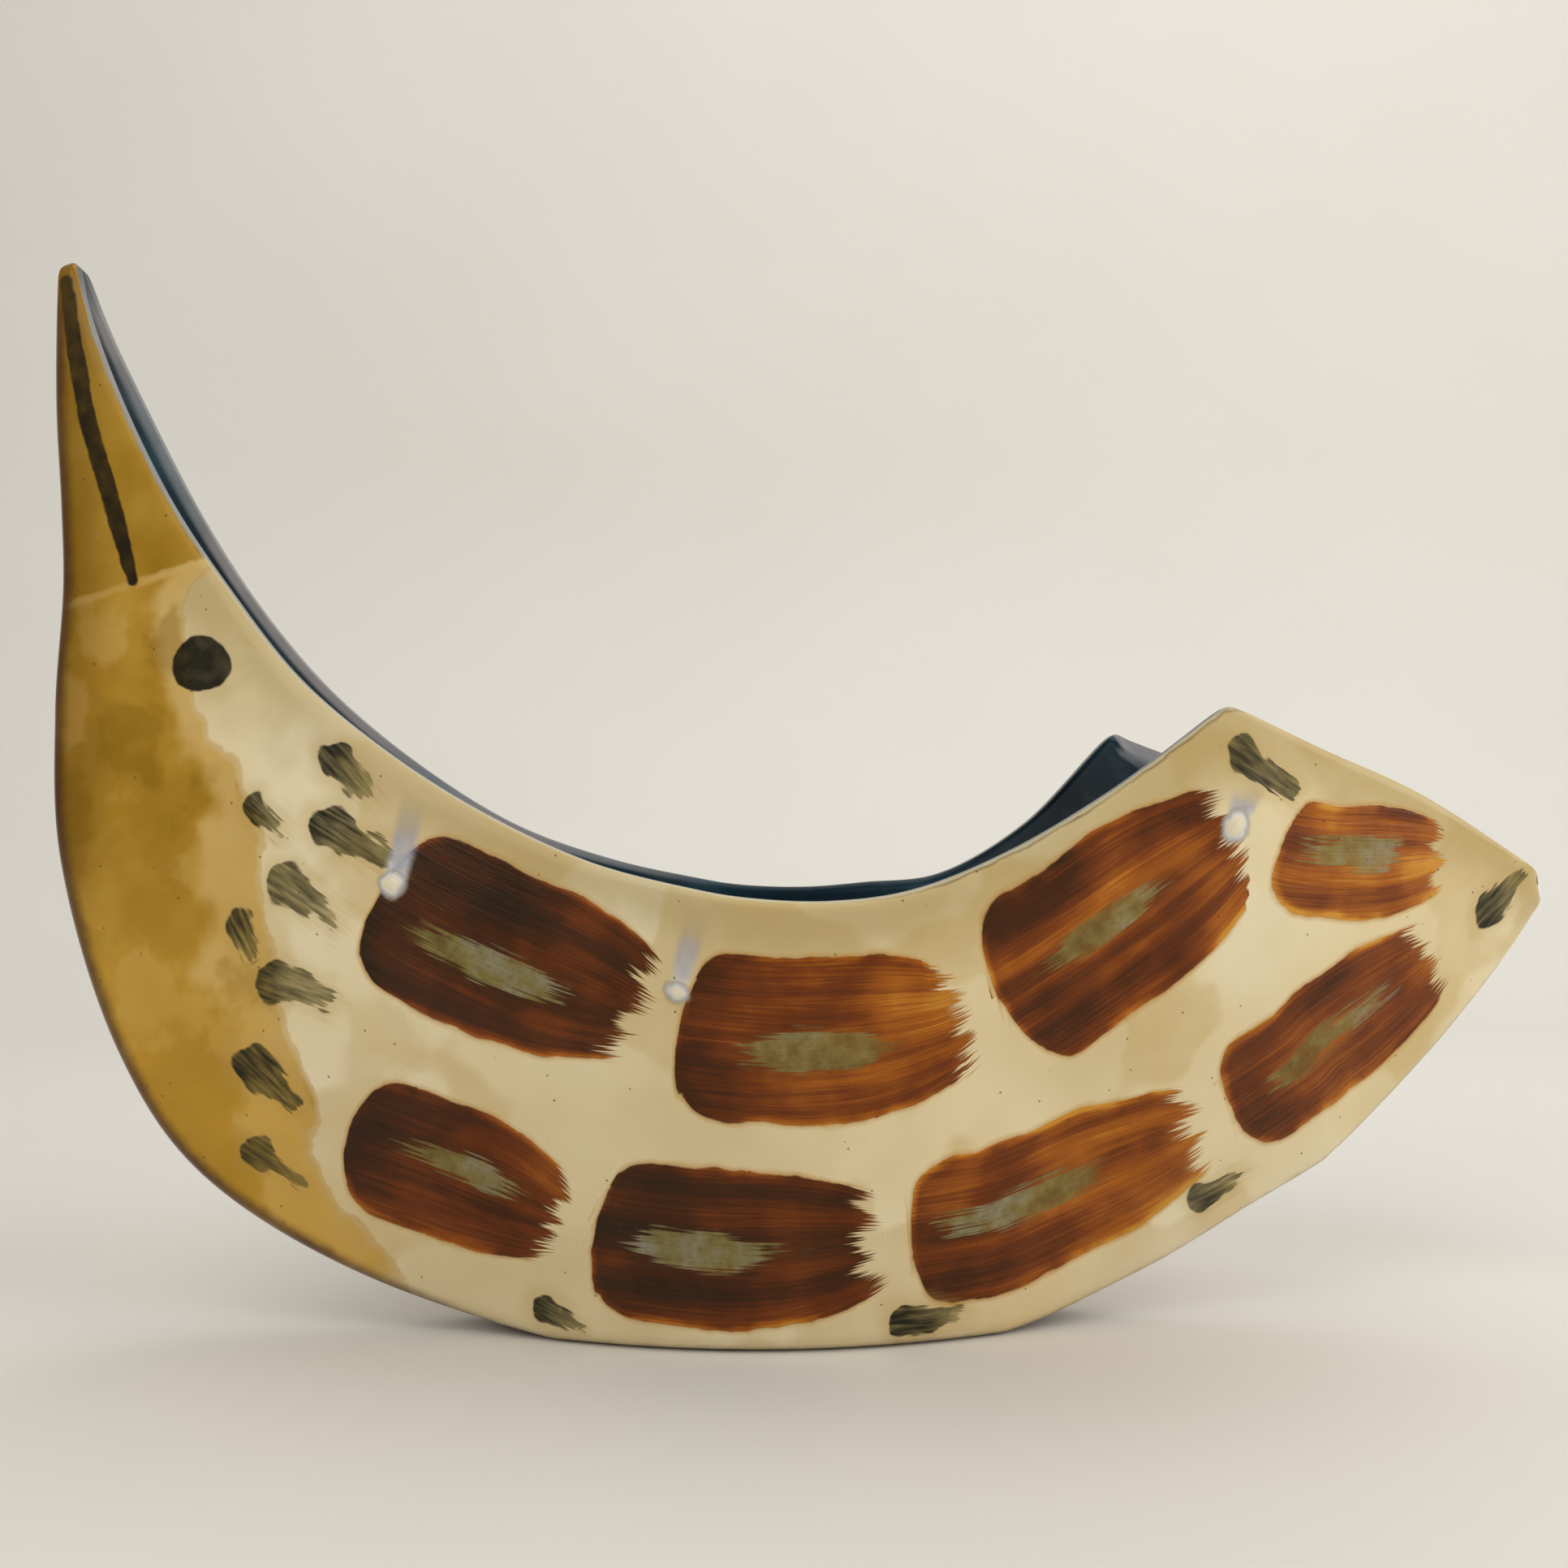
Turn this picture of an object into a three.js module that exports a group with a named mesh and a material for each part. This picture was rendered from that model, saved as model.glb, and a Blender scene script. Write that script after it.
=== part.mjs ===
import * as THREE from "three";

// Ceramic bird bowl, slab built: two cut clay walls joined along the breast and under the tail, a flat
// base between their feet, clay coils pressed into the inside corners, and a glaze coat on each face.
// Millimetres, +Z up, the beak toward -X, the bird's left wall on -Y.

// The bowl overall
const LENGTH = 397.4; // breast to tail tip
const HEIGHT = 279.5; // foot to beak tip
const WIDTH = 116; // rim to rim, over the tail end of the foot

// Clay and glaze thicknesses
const SLAB = 6; // rolled slab of each wall
const COAT = 0.8; // fired glaze coat
const FIT = 0.3; // clearance where two pieces meet
const BASE_THICK = 8; // base slab

// Edges of the walls
const SEAM_HALF = 3.5; // half thickness of the rounded seam edge
const SEAM_RUN = 5; // how far that rounding runs up the wall
const LIP_RUN = 3; // rounding of the rim
const LIP_FLAT = 0.3; // share of the slab left flat on the rim's crest
const BEVEL_RUN = 6.6; // cut inside the tail's end edge
const BEVEL_LEFT = 0.35; // share of the slab left at that edge
const BELLY = 0.025; // outward swell of a wall, as a share of its height

// Lens-shaped foot
const FOOT_LENGTH = 116;
const FOOT_WIDTH = 51;
const FOOT_MIDDLE_X = -8;
const FOOT_TAPER = 24; // how far its outside tapers on into each seam
const FOOT_TAPER_INSIDE = 15; // how far its inside does
const FOOT_BLEND = 12; // how softly the walls part from the seam into the foot

// Coils in the inside corners
const COIL_TIP_HALF = 1.2; // half width where a seam coil starts, deep in the V of the walls
const COIL_HALF = 5; // half width of a seam coil's smoothed face
const COIL_NARROW = 0.6; // largest share of the hollow's width that a seam coil fills
const FOOT_COIL = 9; // leg of the coil between base and wall
const LINER_STEP = 1; // bare line between a coil's smoothed face and the liner coat

// Ribs of the left wall, from beak tip to tail tip, in hundredths of LENGTH along, of HEIGHT up and of
// WIDTH across. keel is the (x, z) where the wall starts at a seam, rim the (x, z) where it ends, wide the
// bowl's width at the rim, and sag how far the right wall's rim dips below the left's.
const hundredths = (count, size) => (count / 100) * size;

function rib({ keel, rim, wide, sag }) {
  return {
    keel: [hundredths(keel[0], LENGTH), hundredths(keel[1], HEIGHT)],
    rim: [hundredths(rim[0], LENGTH), hundredths(rim[1], HEIGHT)],
    half: hundredths(wide, WIDTH) / 2,
    sag: hundredths(sag, HEIGHT),
  };
}

// A rib that starts at the foot, whose place along the bowl is the foot's own.
function footRib(keelX, { rim, wide, sag }) {
  return { ...rib({ keel: [0, 0], rim, wide, sag }), keel: [keelX, 0] };
}

const BREAST_RIBS = [
  rib({ keel: [-49.4, 98.7], rim: [-48.7, 100], wide: 13, sag: 0 }),
  rib({ keel: [-49.9, 93.7], rim: [-47.4, 94.8], wide: 16.4, sag: 0 }),
  rib({ keel: [-49.9, 85.9], rim: [-44.8, 85.9], wide: 22.4, sag: -0.6 }),
  rib({ keel: [-49.5, 76.9], rim: [-41.4, 76.4], wide: 24, sag: -0.7 }),
  rib({ keel: [-49.3, 69.4], rim: [-37.6, 68.5], wide: 26.7, sag: 0 }),
  rib({ keel: [-49.7, 57.2], rim: [-32.9, 60.3], wide: 32.8, sag: 0 }),
  rib({ keel: [-49.2, 43.6], rim: [-27, 53.5], wide: 44, sag: 0.5 }),
  rib({ keel: [-45.2, 25.5], rim: [-20.5, 47.9], wide: 62, sag: 0.9 }),
  rib({ keel: [-40.1, 14.8], rim: [-13.7, 43.6], wide: 79.3, sag: 0.2 }),
  rib({ keel: [-29.5, 5.2], rim: [-7.9, 41.5], wide: 90.5, sag: 0 }),
];
const FOOT_RIBS = [
  footRib(FOOT_MIDDLE_X - FOOT_LENGTH / 2, { rim: [-4.6, 40.7], wide: 94.8, sag: 0 }),
  footRib(FOOT_MIDDLE_X, { rim: [0.4, 40.4], wide: 98.3, sag: 0 }),
  footRib(FOOT_MIDDLE_X + FOOT_LENGTH / 2, { rim: [5.2, 41.3], wide: 100, sag: 0.4 }),
];
const TAIL_RIBS = [
  rib({ keel: [22.3, 4.7], rim: [10.7, 44.3], wide: 99.1, sag: 2.5 }),
  rib({ keel: [29.8, 10.6], rim: [17.3, 49.7], wide: 97.4, sag: 2.5 }),
  rib({ keel: [34.9, 14.8], rim: [23.3, 56], wide: 93.4, sag: -0.4 }),
  rib({ keel: [35.5, 15.6], rim: [24.3, 56.8], wide: 92.4, sag: 0 }),
  rib({ keel: [36.1, 16.3], rim: [25.6, 56.5], wide: 88.8, sag: 0.7 }),
  rib({ keel: [42.4, 25.3], rim: [31.4, 53.5], wide: 69, sag: 1.1 }),
  rib({ keel: [47.5, 34], rim: [39.4, 49.6], wide: 43.1, sag: 0.5 }),
  rib({ keel: [50, 39.5], rim: [49.3, 42.2], wide: 13, sag: 0 }),
];
const RIBS = [...BREAST_RIBS, ...FOOT_RIBS, ...TAIL_RIBS];
const FOOT_FIRST = BREAST_RIBS.length;
const FOOT_LAST = FOOT_FIRST + FOOT_RIBS.length - 1;
const CORNER = FOOT_LAST + 4; // rib at the tail's top corner
const LAST = RIBS.length - 1;

// Limits in a narrow column, as shares of its height
const EDGE_MOST = 0.25; // rounding of the seam or the rim
const COIL_LOW_MOST = 0.5; // start of a coil
const COIL_TOP_MOST = 0.65; // end of a coil
const COIL_LEAST = 0.08; // a coil's own height
const LINER_STEP_MOST = 0.05; // bare line above a coil
const SEAM_CLEAR = 1.2; // start of a coil in lengths of the seam's rounding

// Mesh fineness
const STEPS = 3; // columns from rib to rib
const FOOT_COLUMNS = 16; // columns over the foot, closer at its ends
const SEAM_ROWS = [0, 0.15, 0.5, 1]; // shares of the seam's rounding
const BODY_ROWS = 3; // rows from liner to lip
const LIP_ROWS = [0.6, 1]; // shares of the rim's rounding
const HALVINGS = 40; // of a column, to find where the hollow reaches a width
const GRAIN = 0.005; // points closer than this are one

// Rows of a column that pieces start or end on
const COIL_LOW_ROW = SEAM_ROWS.length;
const COIL_TOP_ROW = COIL_LOW_ROW + 1;
const LINER_ROW = COIL_TOP_ROW + 1;
const LIP_ROW = LINER_ROW + BODY_ROWS;
const TOP_ROW = LIP_ROW + LIP_ROWS.length;

// Half width where a wall starts at x, from the lens-shaped foot and the seams it runs out into.
function startHalf(x, taper, blend) {
  const off = (x - FOOT_MIDDLE_X) / (FOOT_LENGTH / 2 + taper);
  const parting = (FOOT_WIDTH / 2) * (1 - off ** 2) - SEAM_HALF - COAT - FIT;
  return (parting + Math.hypot(parting, blend)) / 2;
}

function curveThrough(points) {
  return new THREE.CatmullRomCurve3(points, false, "centripetal");
}

function keelCurve(ribs) {
  return curveThrough(ribs.map(({ keel }) => new THREE.Vector3(keel[0], 0, keel[1])));
}

const breastKeel = keelCurve(RIBS.slice(0, FOOT_FIRST + 1));
const tailKeel = keelCurve(RIBS.slice(FOOT_LAST));

// Keel point at a place between ribs: on the breast seam, along the straight foot or on the tail seam.
function keelAt(place) {
  if (place <= FOOT_FIRST) return breastKeel.getPoint(place / FOOT_FIRST);
  if (place >= FOOT_LAST) return tailKeel.getPoint((place - FOOT_LAST) / (LAST - FOOT_LAST));
  const before = Math.floor(place);
  const x = THREE.MathUtils.lerp(RIBS[before].keel[0], RIBS[before + 1].keel[0], place - before);
  return new THREE.Vector3(x, 0, 0);
}

function rimCurve(sagShare) {
  return curveThrough(
    RIBS.map(({ rim, half, sag }) => new THREE.Vector3(rim[0], half, rim[1] - sagShare * sag)),
  );
}

// A column of the wall at a place between ribs: the straight way from keel to rim and its half widths.
function columnAt(rimLine, place) {
  const keel = keelAt(place);
  const rim = rimLine.getPoint(place / LAST);
  const run = Math.hypot(rim.x - keel.x, rim.z - keel.z);
  const up = (rim.z - keel.z) / run;
  const seamRun = Math.min(SEAM_RUN, run * EDGE_MOST);
  const startOutside = startHalf(keel.x, FOOT_TAPER, FOOT_BLEND);
  const startInside = startHalf(keel.x, FOOT_TAPER_INSIDE, FOOT_BLEND / 2);
  const end = rim.y - COAT - FIT;
  const bevelled = THREE.MathUtils.clamp(place - CORNER + 1, 0, 1);
  const lipRun = Math.min(THREE.MathUtils.lerp(LIP_RUN, BEVEL_RUN, bevelled), run * EDGE_MOST);

  // Half width of a wall's faces before its edges are rounded, from where it starts
  const plain = (d, start) => {
    const share = d / run;
    const swell = 4 * BELLY * run * share * (1 - share);
    return THREE.MathUtils.lerp(start + SEAM_HALF, end, share) + swell;
  };
  const plainInner = (d) => plain(d, startInside) - SLAB;
  const lip = (d) => Math.max(d - run + lipRun, 0) / lipRun;
  const outer = (d) => {
    const rounding = 1 - Math.sqrt(1 - (1 - Math.min(d / seamRun, 1)) ** 2);
    const turn = 1 - Math.sqrt(1 - lip(d) ** 2);
    const lipCut = (SLAB / 2) * (1 - LIP_FLAT) * turn * (1 - bevelled);
    return Math.max(plain(d, startOutside) - SEAM_HALF * rounding - lipCut, FIT / 2);
  };
  const inner = (d) => {
    const turn = 1 - Math.sqrt(1 - lip(d) ** 2);
    const lipCut = (SLAB / 2) * (1 - LIP_FLAT) * turn;
    const bevelCut = SLAB * (1 - BEVEL_LEFT) * lip(d);
    return Math.max(plainInner(d) + THREE.MathUtils.lerp(lipCut, bevelCut, bevelled), FIT / 2);
  };

  // Distance up the column where the hollow reaches a half width, and where it reaches a height
  const whereWide = (half) => {
    let low = 0;
    let high = run - lipRun;
    for (let i = 0; i < HALVINGS; i++) {
      const middle = (low + high) / 2;
      if (plainInner(middle) < half) low = middle;
      else high = middle;
    }
    return low;
  };
  const whereHigh = (z) => (z > keel.z ? (z - keel.z) / up : 0);

  const hollow = Math.max(plainInner(run - lipRun), 0);
  const tip = Math.min(COIL_TIP_HALF, COIL_NARROW * COIL_NARROW * hollow);
  const face = Math.min(COIL_HALF, COIL_NARROW * hollow);
  const coilLow = THREE.MathUtils.clamp(
    Math.max(whereWide(tip), whereHigh(BASE_THICK + FIT)),
    seamRun * SEAM_CLEAR,
    run * COIL_LOW_MOST,
  );
  const coilTop = THREE.MathUtils.clamp(
    Math.max(whereWide(face), whereHigh(BASE_THICK + FIT + FOOT_COIL)),
    coilLow + run * COIL_LEAST,
    run * COIL_TOP_MOST,
  );
  const rows = SEAM_ROWS.map((share) => share * seamRun);
  const linerLow = coilTop + Math.min(LINER_STEP, run * LINER_STEP_MOST);
  rows.push(coilLow, coilTop, linerLow);
  for (let i = 1; i <= BODY_ROWS; i++) {
    rows.push(THREE.MathUtils.lerp(linerLow, run - lipRun, i / BODY_ROWS));
  }
  for (const share of LIP_ROWS) rows.push(run - lipRun + share * lipRun);

  const cellAt = (d) => ({
    x: THREE.MathUtils.lerp(keel.x, rim.x, d / run),
    z: THREE.MathUtils.lerp(keel.z, rim.z, d / run),
    outer: outer(d),
    inner: inner(d),
  });
  return { cells: rows.map(cellAt), baseFoot: cellAt(0), baseTop: cellAt(whereHigh(BASE_THICK)) };
}

const PLACES = [];
for (let rib = 0; rib < FOOT_FIRST; rib++) {
  for (let i = 0; i < STEPS; i++) PLACES.push(rib + i / STEPS);
}
for (let i = 0; i < FOOT_COLUMNS; i++) {
  PLACES.push(FOOT_FIRST + 1 - Math.cos((Math.PI * i) / FOOT_COLUMNS));
}
for (let rib = FOOT_LAST; rib < LAST; rib++) {
  for (let i = 0; i < STEPS; i++) PLACES.push(rib + i / STEPS);
}
PLACES.push(LAST);

const leftRim = rimCurve(0);
const rightRim = rimCurve(1);
const left = { name: "left", sign: -1, columns: PLACES.map((place) => columnAt(leftRim, place)) };
const right = { name: "right", sign: 1, columns: PLACES.map((place) => columnAt(rightRim, place)) };

// First and last column that pass a test.
function span(test) {
  return [left.columns.findIndex(test), left.columns.findLastIndex(test)];
}

const EVERY = [0, PLACES.length - 1];
const LINED = span(({ cells }) => cells[LIP_ROW].inner > COIL_TIP_HALF + COAT);
const BASED = span(({ baseFoot }) => baseFoot.z === 0 && baseFoot.inner > 2 * FIT);
const FLOORED = span(({ baseFoot, cells }) => {
  return baseFoot.z === 0 && cells[COIL_LOW_ROW].inner > FOOT_COIL + 4 * FIT;
});

// Gathers triangles, sharing the points that coincide and dropping faces that close up.
class Faces {
  points = [];
  corners = [];
  known = new Map();

  point([x, y, z]) {
    const key = [x, y, z].map((value) => Math.round(value / GRAIN)).join();
    if (!this.known.has(key)) {
      this.known.set(key, this.points.length);
      this.points.push([x, y, z]);
    }
    return this.known.get(key);
  }

  triangle(a, b, c) {
    const [i, j, k] = [this.point(a), this.point(b), this.point(c)];
    if (i !== j && j !== k && k !== i) this.corners.push(i, j, k);
  }

  quad(a, b, c, d) {
    this.triangle(a, b, c);
    this.triangle(a, c, d);
  }

  volume() {
    const [a, b, c] = [new THREE.Vector3(), new THREE.Vector3(), new THREE.Vector3()];
    let sum = 0;
    for (let i = 0; i < this.corners.length; i += 3) {
      a.fromArray(this.points[this.corners[i]]);
      b.fromArray(this.points[this.corners[i + 1]]);
      c.fromArray(this.points[this.corners[i + 2]]);
      sum += a.dot(b.cross(c));
    }
    return sum / 6;
  }

  geometry() {
    if (this.volume() < 0) this.corners.reverse();
    const made = new THREE.BufferGeometry();
    made.setAttribute("position", new THREE.Float32BufferAttribute(this.points.flat(), 3));
    made.setIndex(this.corners);
    made.computeVertexNormals();
    return made;
  }
}

// A sheet of a wall over some columns and rows, between two half widths of each cell.
function sheet(side, [first, last], [bottom, top], low, high) {
  const faces = new Faces();
  const spot = (width) => (c, r) => {
    const cell = side.columns[c].cells[r];
    return [cell.x, side.sign * width(cell), cell.z];
  };
  const under = spot(low);
  const over = spot(high);
  for (let c = first; c < last; c++) {
    for (let r = bottom; r < top; r++) {
      faces.quad(over(c, r), over(c + 1, r), over(c + 1, r + 1), over(c, r + 1));
      faces.quad(under(c, r), under(c, r + 1), under(c + 1, r + 1), under(c + 1, r));
    }
    faces.quad(over(c + 1, bottom), over(c, bottom), under(c, bottom), under(c + 1, bottom));
    faces.quad(over(c, top), over(c + 1, top), under(c + 1, top), under(c, top));
  }
  for (let r = bottom; r < top; r++) {
    faces.quad(over(first, r), over(first, r + 1), under(first, r + 1), under(first, r));
    faces.quad(over(last, r + 1), over(last, r), under(last, r), under(last, r + 1));
  }
  return faces.geometry();
}

// A bar through like sections, one per column, closed at both ends.
function bar(sections) {
  const faces = new Faces();
  const count = sections[0].length;
  for (let s = 0; s + 1 < sections.length; s++) {
    for (let i = 0; i < count; i++) {
      const j = (i + 1) % count;
      faces.quad(sections[s][i], sections[s][j], sections[s + 1][j], sections[s + 1][i]);
    }
  }
  const [head, tail] = [sections[0], sections[sections.length - 1]];
  for (let i = 1; i + 1 < count; i++) {
    faces.triangle(head[0], head[i + 1], head[i]);
    faces.triangle(tail[0], tail[i], tail[i + 1]);
  }
  return faces.geometry();
}

function sections([first, last], sectionAt) {
  const made = [];
  for (let c = first; c <= last; c++) made.push(sectionAt(c));
  return made;
}

const bowl = new THREE.Group();
bowl.name = "ceramic_bird_bowl";

function add(name, geometry, color, roughness) {
  const look = new THREE.MeshStandardMaterial({ color, roughness, metalness: 0 });
  const mesh = new THREE.Mesh(geometry, look);
  mesh.name = name;
  bowl.add(mesh);
}

const CLAY = 0x8a6443;
const OUTER_GLAZE = 0xcabd97;
const LINER_GLAZE = 0x1e2a33;
const COIL = 0x2a3036;

// Walls, their outer coats and their liner coats
for (const side of [left, right]) {
  const { name } = side;
  add(`${name}_wall`, sheet(side, EVERY, [0, TOP_ROW], (c) => c.inner, (c) => c.outer), CLAY, 0.8);
  const coatFoot = (c) => c.outer + FIT;
  const coatFace = (c) => c.outer + FIT + COAT;
  add(`${name}_outer_glaze`, sheet(side, EVERY, [1, LIP_ROW], coatFoot, coatFace), OUTER_GLAZE, 0.25);
  const linerFoot = (c) => c.inner - FIT;
  const linerFace = (c) => c.inner - FIT - COAT;
  const lined = [LINER_ROW, LIP_ROW];
  add(`${name}_liner_glaze`, sheet(side, LINED, lined, linerFace, linerFoot), LINER_GLAZE, 0.2);
}

// Base slab between the feet of the walls
const baseSection = (c) => {
  const made = [];
  for (const [cell, z] of [
    ["baseFoot", 0],
    ["baseTop", BASE_THICK],
  ]) {
    const row = [left, right].map((side) => {
      const spot = side.columns[c][cell];
      return [spot.x, side.sign * (spot.inner - FIT), z];
    });
    made.push(...(z ? row.reverse() : row));
  }
  return made;
};
add("base_slab", bar(sections(BASED, baseSection)), CLAY, 0.85);

// Coils pressed into the V of the breast seam and of the tail seam
const seamCoilSection = (c) => {
  const corner = (side, row) => {
    const cell = side.columns[c].cells[row];
    return [cell.x, side.sign * (cell.inner - FIT), cell.z];
  };
  return [
    corner(left, COIL_LOW_ROW),
    corner(right, COIL_LOW_ROW),
    corner(right, COIL_TOP_ROW),
    corner(left, COIL_TOP_ROW),
  ];
};
add("breast_seam_coil", bar(sections([LINED[0], BASED[0] - 1], seamCoilSection)), COIL, 0.3);
add("tail_seam_coil", bar(sections([BASED[1] + 1, LINED[1]], seamCoilSection)), COIL, 0.3);

// Coils pressed into the corner between the base and each wall
const footCoilSection = (side) => (c) => {
  const low = side.columns[c].cells[COIL_LOW_ROW];
  const top = side.columns[c].cells[COIL_TOP_ROW];
  const reach = Math.max(low.inner - FIT - FOOT_COIL, FIT);
  return [
    [low.x, side.sign * reach, low.z],
    [low.x, side.sign * (low.inner - FIT), low.z],
    [top.x, side.sign * (top.inner - FIT), top.z],
  ];
};
for (const side of [left, right]) {
  add(`${side.name}_foot_coil`, bar(sections(BASED, footCoilSection(side))), COIL, 0.3);
}

// Glaze pooled on the base between the coils
const floorSection = (c) => {
  const made = [];
  for (const z of [BASE_THICK + FIT, BASE_THICK + FIT + COAT]) {
    const row = [left, right].map((side) => {
      const low = side.columns[c].cells[COIL_LOW_ROW];
      return [low.x, side.sign * (low.inner - FOOT_COIL - 2 * FIT), z];
    });
    made.push(...(z > BASE_THICK + FIT ? row.reverse() : row));
  }
  return made;
};
add("floor_glaze", bar(sections(FLOORED, floorSection)), LINER_GLAZE, 0.2);

export default bowl;
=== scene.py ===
import math

import bmesh
import bpy
import numpy as np
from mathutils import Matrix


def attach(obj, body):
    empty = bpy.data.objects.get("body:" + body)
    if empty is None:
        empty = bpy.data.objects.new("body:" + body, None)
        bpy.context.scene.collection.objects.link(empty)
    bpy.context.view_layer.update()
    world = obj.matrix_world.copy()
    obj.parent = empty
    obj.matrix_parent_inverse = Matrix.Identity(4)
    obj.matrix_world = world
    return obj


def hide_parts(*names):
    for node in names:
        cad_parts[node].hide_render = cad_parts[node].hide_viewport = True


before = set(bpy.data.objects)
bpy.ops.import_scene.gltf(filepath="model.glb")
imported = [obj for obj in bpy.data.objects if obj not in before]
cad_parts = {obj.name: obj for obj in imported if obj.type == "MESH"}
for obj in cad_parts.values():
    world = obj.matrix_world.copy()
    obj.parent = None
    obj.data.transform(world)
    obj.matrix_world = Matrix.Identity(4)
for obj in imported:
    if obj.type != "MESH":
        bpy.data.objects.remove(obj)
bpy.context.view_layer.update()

# Clay walls: two slabs of brown stoneware, rolled out, cut to the bird's outline and leaned apart over
# the foot, then luted together along the breast and under the tail. Glaze hides them but for the thin
# line of bare clay along the seams and round the foot. Sizes are in metres.
LENGTH = 0.3973
HEIGHT = 0.2795
WIDTH = 0.116
SLAB = 0.006
COAT = 0.0006
FIT = 0.0003
PROUD = FIT + COAT
RIM_BACK = 0.0011
BELLY = 0.025

# Seams: half the clay's width and the run of their rounding, and the least half width of anything.
SEAM_HALF = 0.0035
SEAM_RUN = 0.005
JOINT = 0.00002

# Lip: rounded along the middle of the back, bevelled round the tail and, up to a rib, along the neck.
LIP_RUN = 0.003
LIP_FLAT = 0.3
BEVEL_RUN = 0.0066
BEVEL_LEFT = 0.35
BEVEL_SOFT = 0.25
NECK_BEVEL = 0.6
NECK_END = 9.5
NECK_FADE = 2
NECK_START = 0.012

# Foot: a flat lens that runs out into the two seams.
FOOT_LENGTH = 0.116
FOOT_WIDTH = 0.051
FOOT_MIDDLE = -0.008
FOOT_TAPER = 0.024
FOOT_TAPER_INSIDE = 0.015
FOOT_BLEND = 0.012

# Tips: rounded off and drawn in, the right wall's tail a little shorter than the left's. An edge takes no
# more than EDGE_MOST of the short columns there.
TIP_RUN = 0.005
TIP_ROUND = 0.0025
TIP_LEFT = 0.08
TAIL_SHORT = 0.0015
TAIL_CLOSED = 0.35
EDGE_MOST = 0.25

# Ribs from beak tip to tail tip, in hundredths of the length along, the height up and the width across:
# lower edge (x, z), rim (x, z), width at the rim, and how far the right wall's rim dips below the left's.
BREAST_RIBS = [
    ((-49.75, 99.65), (-48.6, 100.15), 10, 0),
    ((-49.9, 93.7), (-47.4, 94.8), 16.4, 0),
    ((-49.9, 85.9), (-44.8, 85.9), 22.4, -0.6),
    ((-49.5, 76.9), (-41.4, 76.4), 24, -0.7),
    ((-49.3, 69.4), (-37.6, 68.5), 26.7, 0),
    ((-49.7, 57.2), (-32.9, 60.3), 32.8, 0),
    ((-49.2, 43.6), (-27, 53.5), 44, 0.5),
    ((-45.2, 25.5), (-20.5, 47.9), 62, 0.9),
    ((-40.1, 14.8), (-13.7, 43.6), 79.3, 0.2),
    ((-29.5, 5.2), (-7.9, 41.5), 90.5, 0),
]
FOOT_ENDS = [100 * (FOOT_MIDDLE + side * FOOT_LENGTH / 2) / LENGTH for side in (-1, 0, 1)]
FOOT_RIBS = [
    ((FOOT_ENDS[0], 0), (-4.6, 40.7), 94.8, 0),
    ((FOOT_ENDS[1], 0), (0.4, 40.4), 98.3, 0),
    ((FOOT_ENDS[2], 0), (5.2, 41.3), 100, 0.4),
]
TAIL_RIBS = [
    ((22.3, 4.7), (10.7, 44.3), 99.1, 2.5),
    ((29.8, 10.6), (17.3, 49.7), 97.4, 2.5),
    ((34.9, 14.8), (23.75, 56.3), 93.0, -0.3),
    ((35.5, 15.6), (24.3, 56.8), 92.4, 0),
    ((36.1, 16.3), (25.0, 56.65), 90.4, 0.4),
    ((42.4, 25.3), (31.4, 53.5), 69, 1.1),
    ((47.5, 34), (39.4, 49.6), 43.1, 0.5),
    ((50.15, 39.5), (49.7, 42.2), 13, 0),
]
RIBS = BREAST_RIBS + FOOT_RIBS + TAIL_RIBS
FOOT_FIRST = len(BREAST_RIBS)
FOOT_LAST = FOOT_FIRST + len(FOOT_RIBS) - 1
CORNER = FOOT_LAST + 4
LAST = len(RIBS) - 1


def through(points, places):
    """A smooth line through points, at places counted in points."""
    points = np.array(points, float)
    first = np.clip(np.floor(places).astype(int), 0, len(points) - 2)
    share = (places - first)[:, None]
    padded = np.vstack([2 * points[0] - points[1], points, 2 * points[-1] - points[-2]])
    a, b, c, d = (padded[first + i] for i in range(4))
    pairs = ((a, b), (b, c), (c, d))
    before, here, after = (np.sqrt(np.linalg.norm(q - p, axis=1))[:, None] for p, q in pairs)
    leaving = ((b - a) / before - (c - a) / (before + here) + (c - b) / here) * here
    arriving = ((c - b) / here - (d - b) / (here + after) + (d - c) / after) * here
    fall = (1 + 2 * share) * (1 - share) ** 2
    return (
        fall * b
        + (1 - fall) * c
        + share * (1 - share) ** 2 * leaving
        - share**2 * (1 - share) * arriving
    )


def gone_along(line):
    """How far along a line each of its points lies."""
    return np.append(0, np.cumsum(np.linalg.norm(np.diff(line, axis=0), axis=1)))


def lower_edge(places):
    """Where a wall starts: on the breast seam, along the straight foot or on the tail seam."""
    points = np.array([rib[0] for rib in RIBS]) / 100 * (LENGTH, HEIGHT)
    breast = through(points[: FOOT_FIRST + 2], np.minimum(places, FOOT_FIRST))
    tail = through(points[FOOT_LAST - 1 :], np.maximum(places - FOOT_LAST, 0) + 1)
    foot_places = range(FOOT_FIRST, FOOT_LAST + 1)
    foot_points = points[FOOT_FIRST : FOOT_LAST + 1]
    foot = np.stack([np.interp(places, foot_places, axis) for axis in foot_points.T], 1)
    along = places[:, None]
    return np.where(along <= FOOT_FIRST, breast, np.where(along >= FOOT_LAST, tail, foot))


def rim_line(places, sag_share):
    """Where a wall ends, as x, half width and z, with a share of the ribs' dip."""
    points = [
        (rim[0] / 100 * LENGTH, wide / 200 * WIDTH, (rim[1] - sag_share * sag) / 100 * HEIGHT)
        for _, rim, wide, sag in RIBS
    ]
    return through(points, places)


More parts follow.
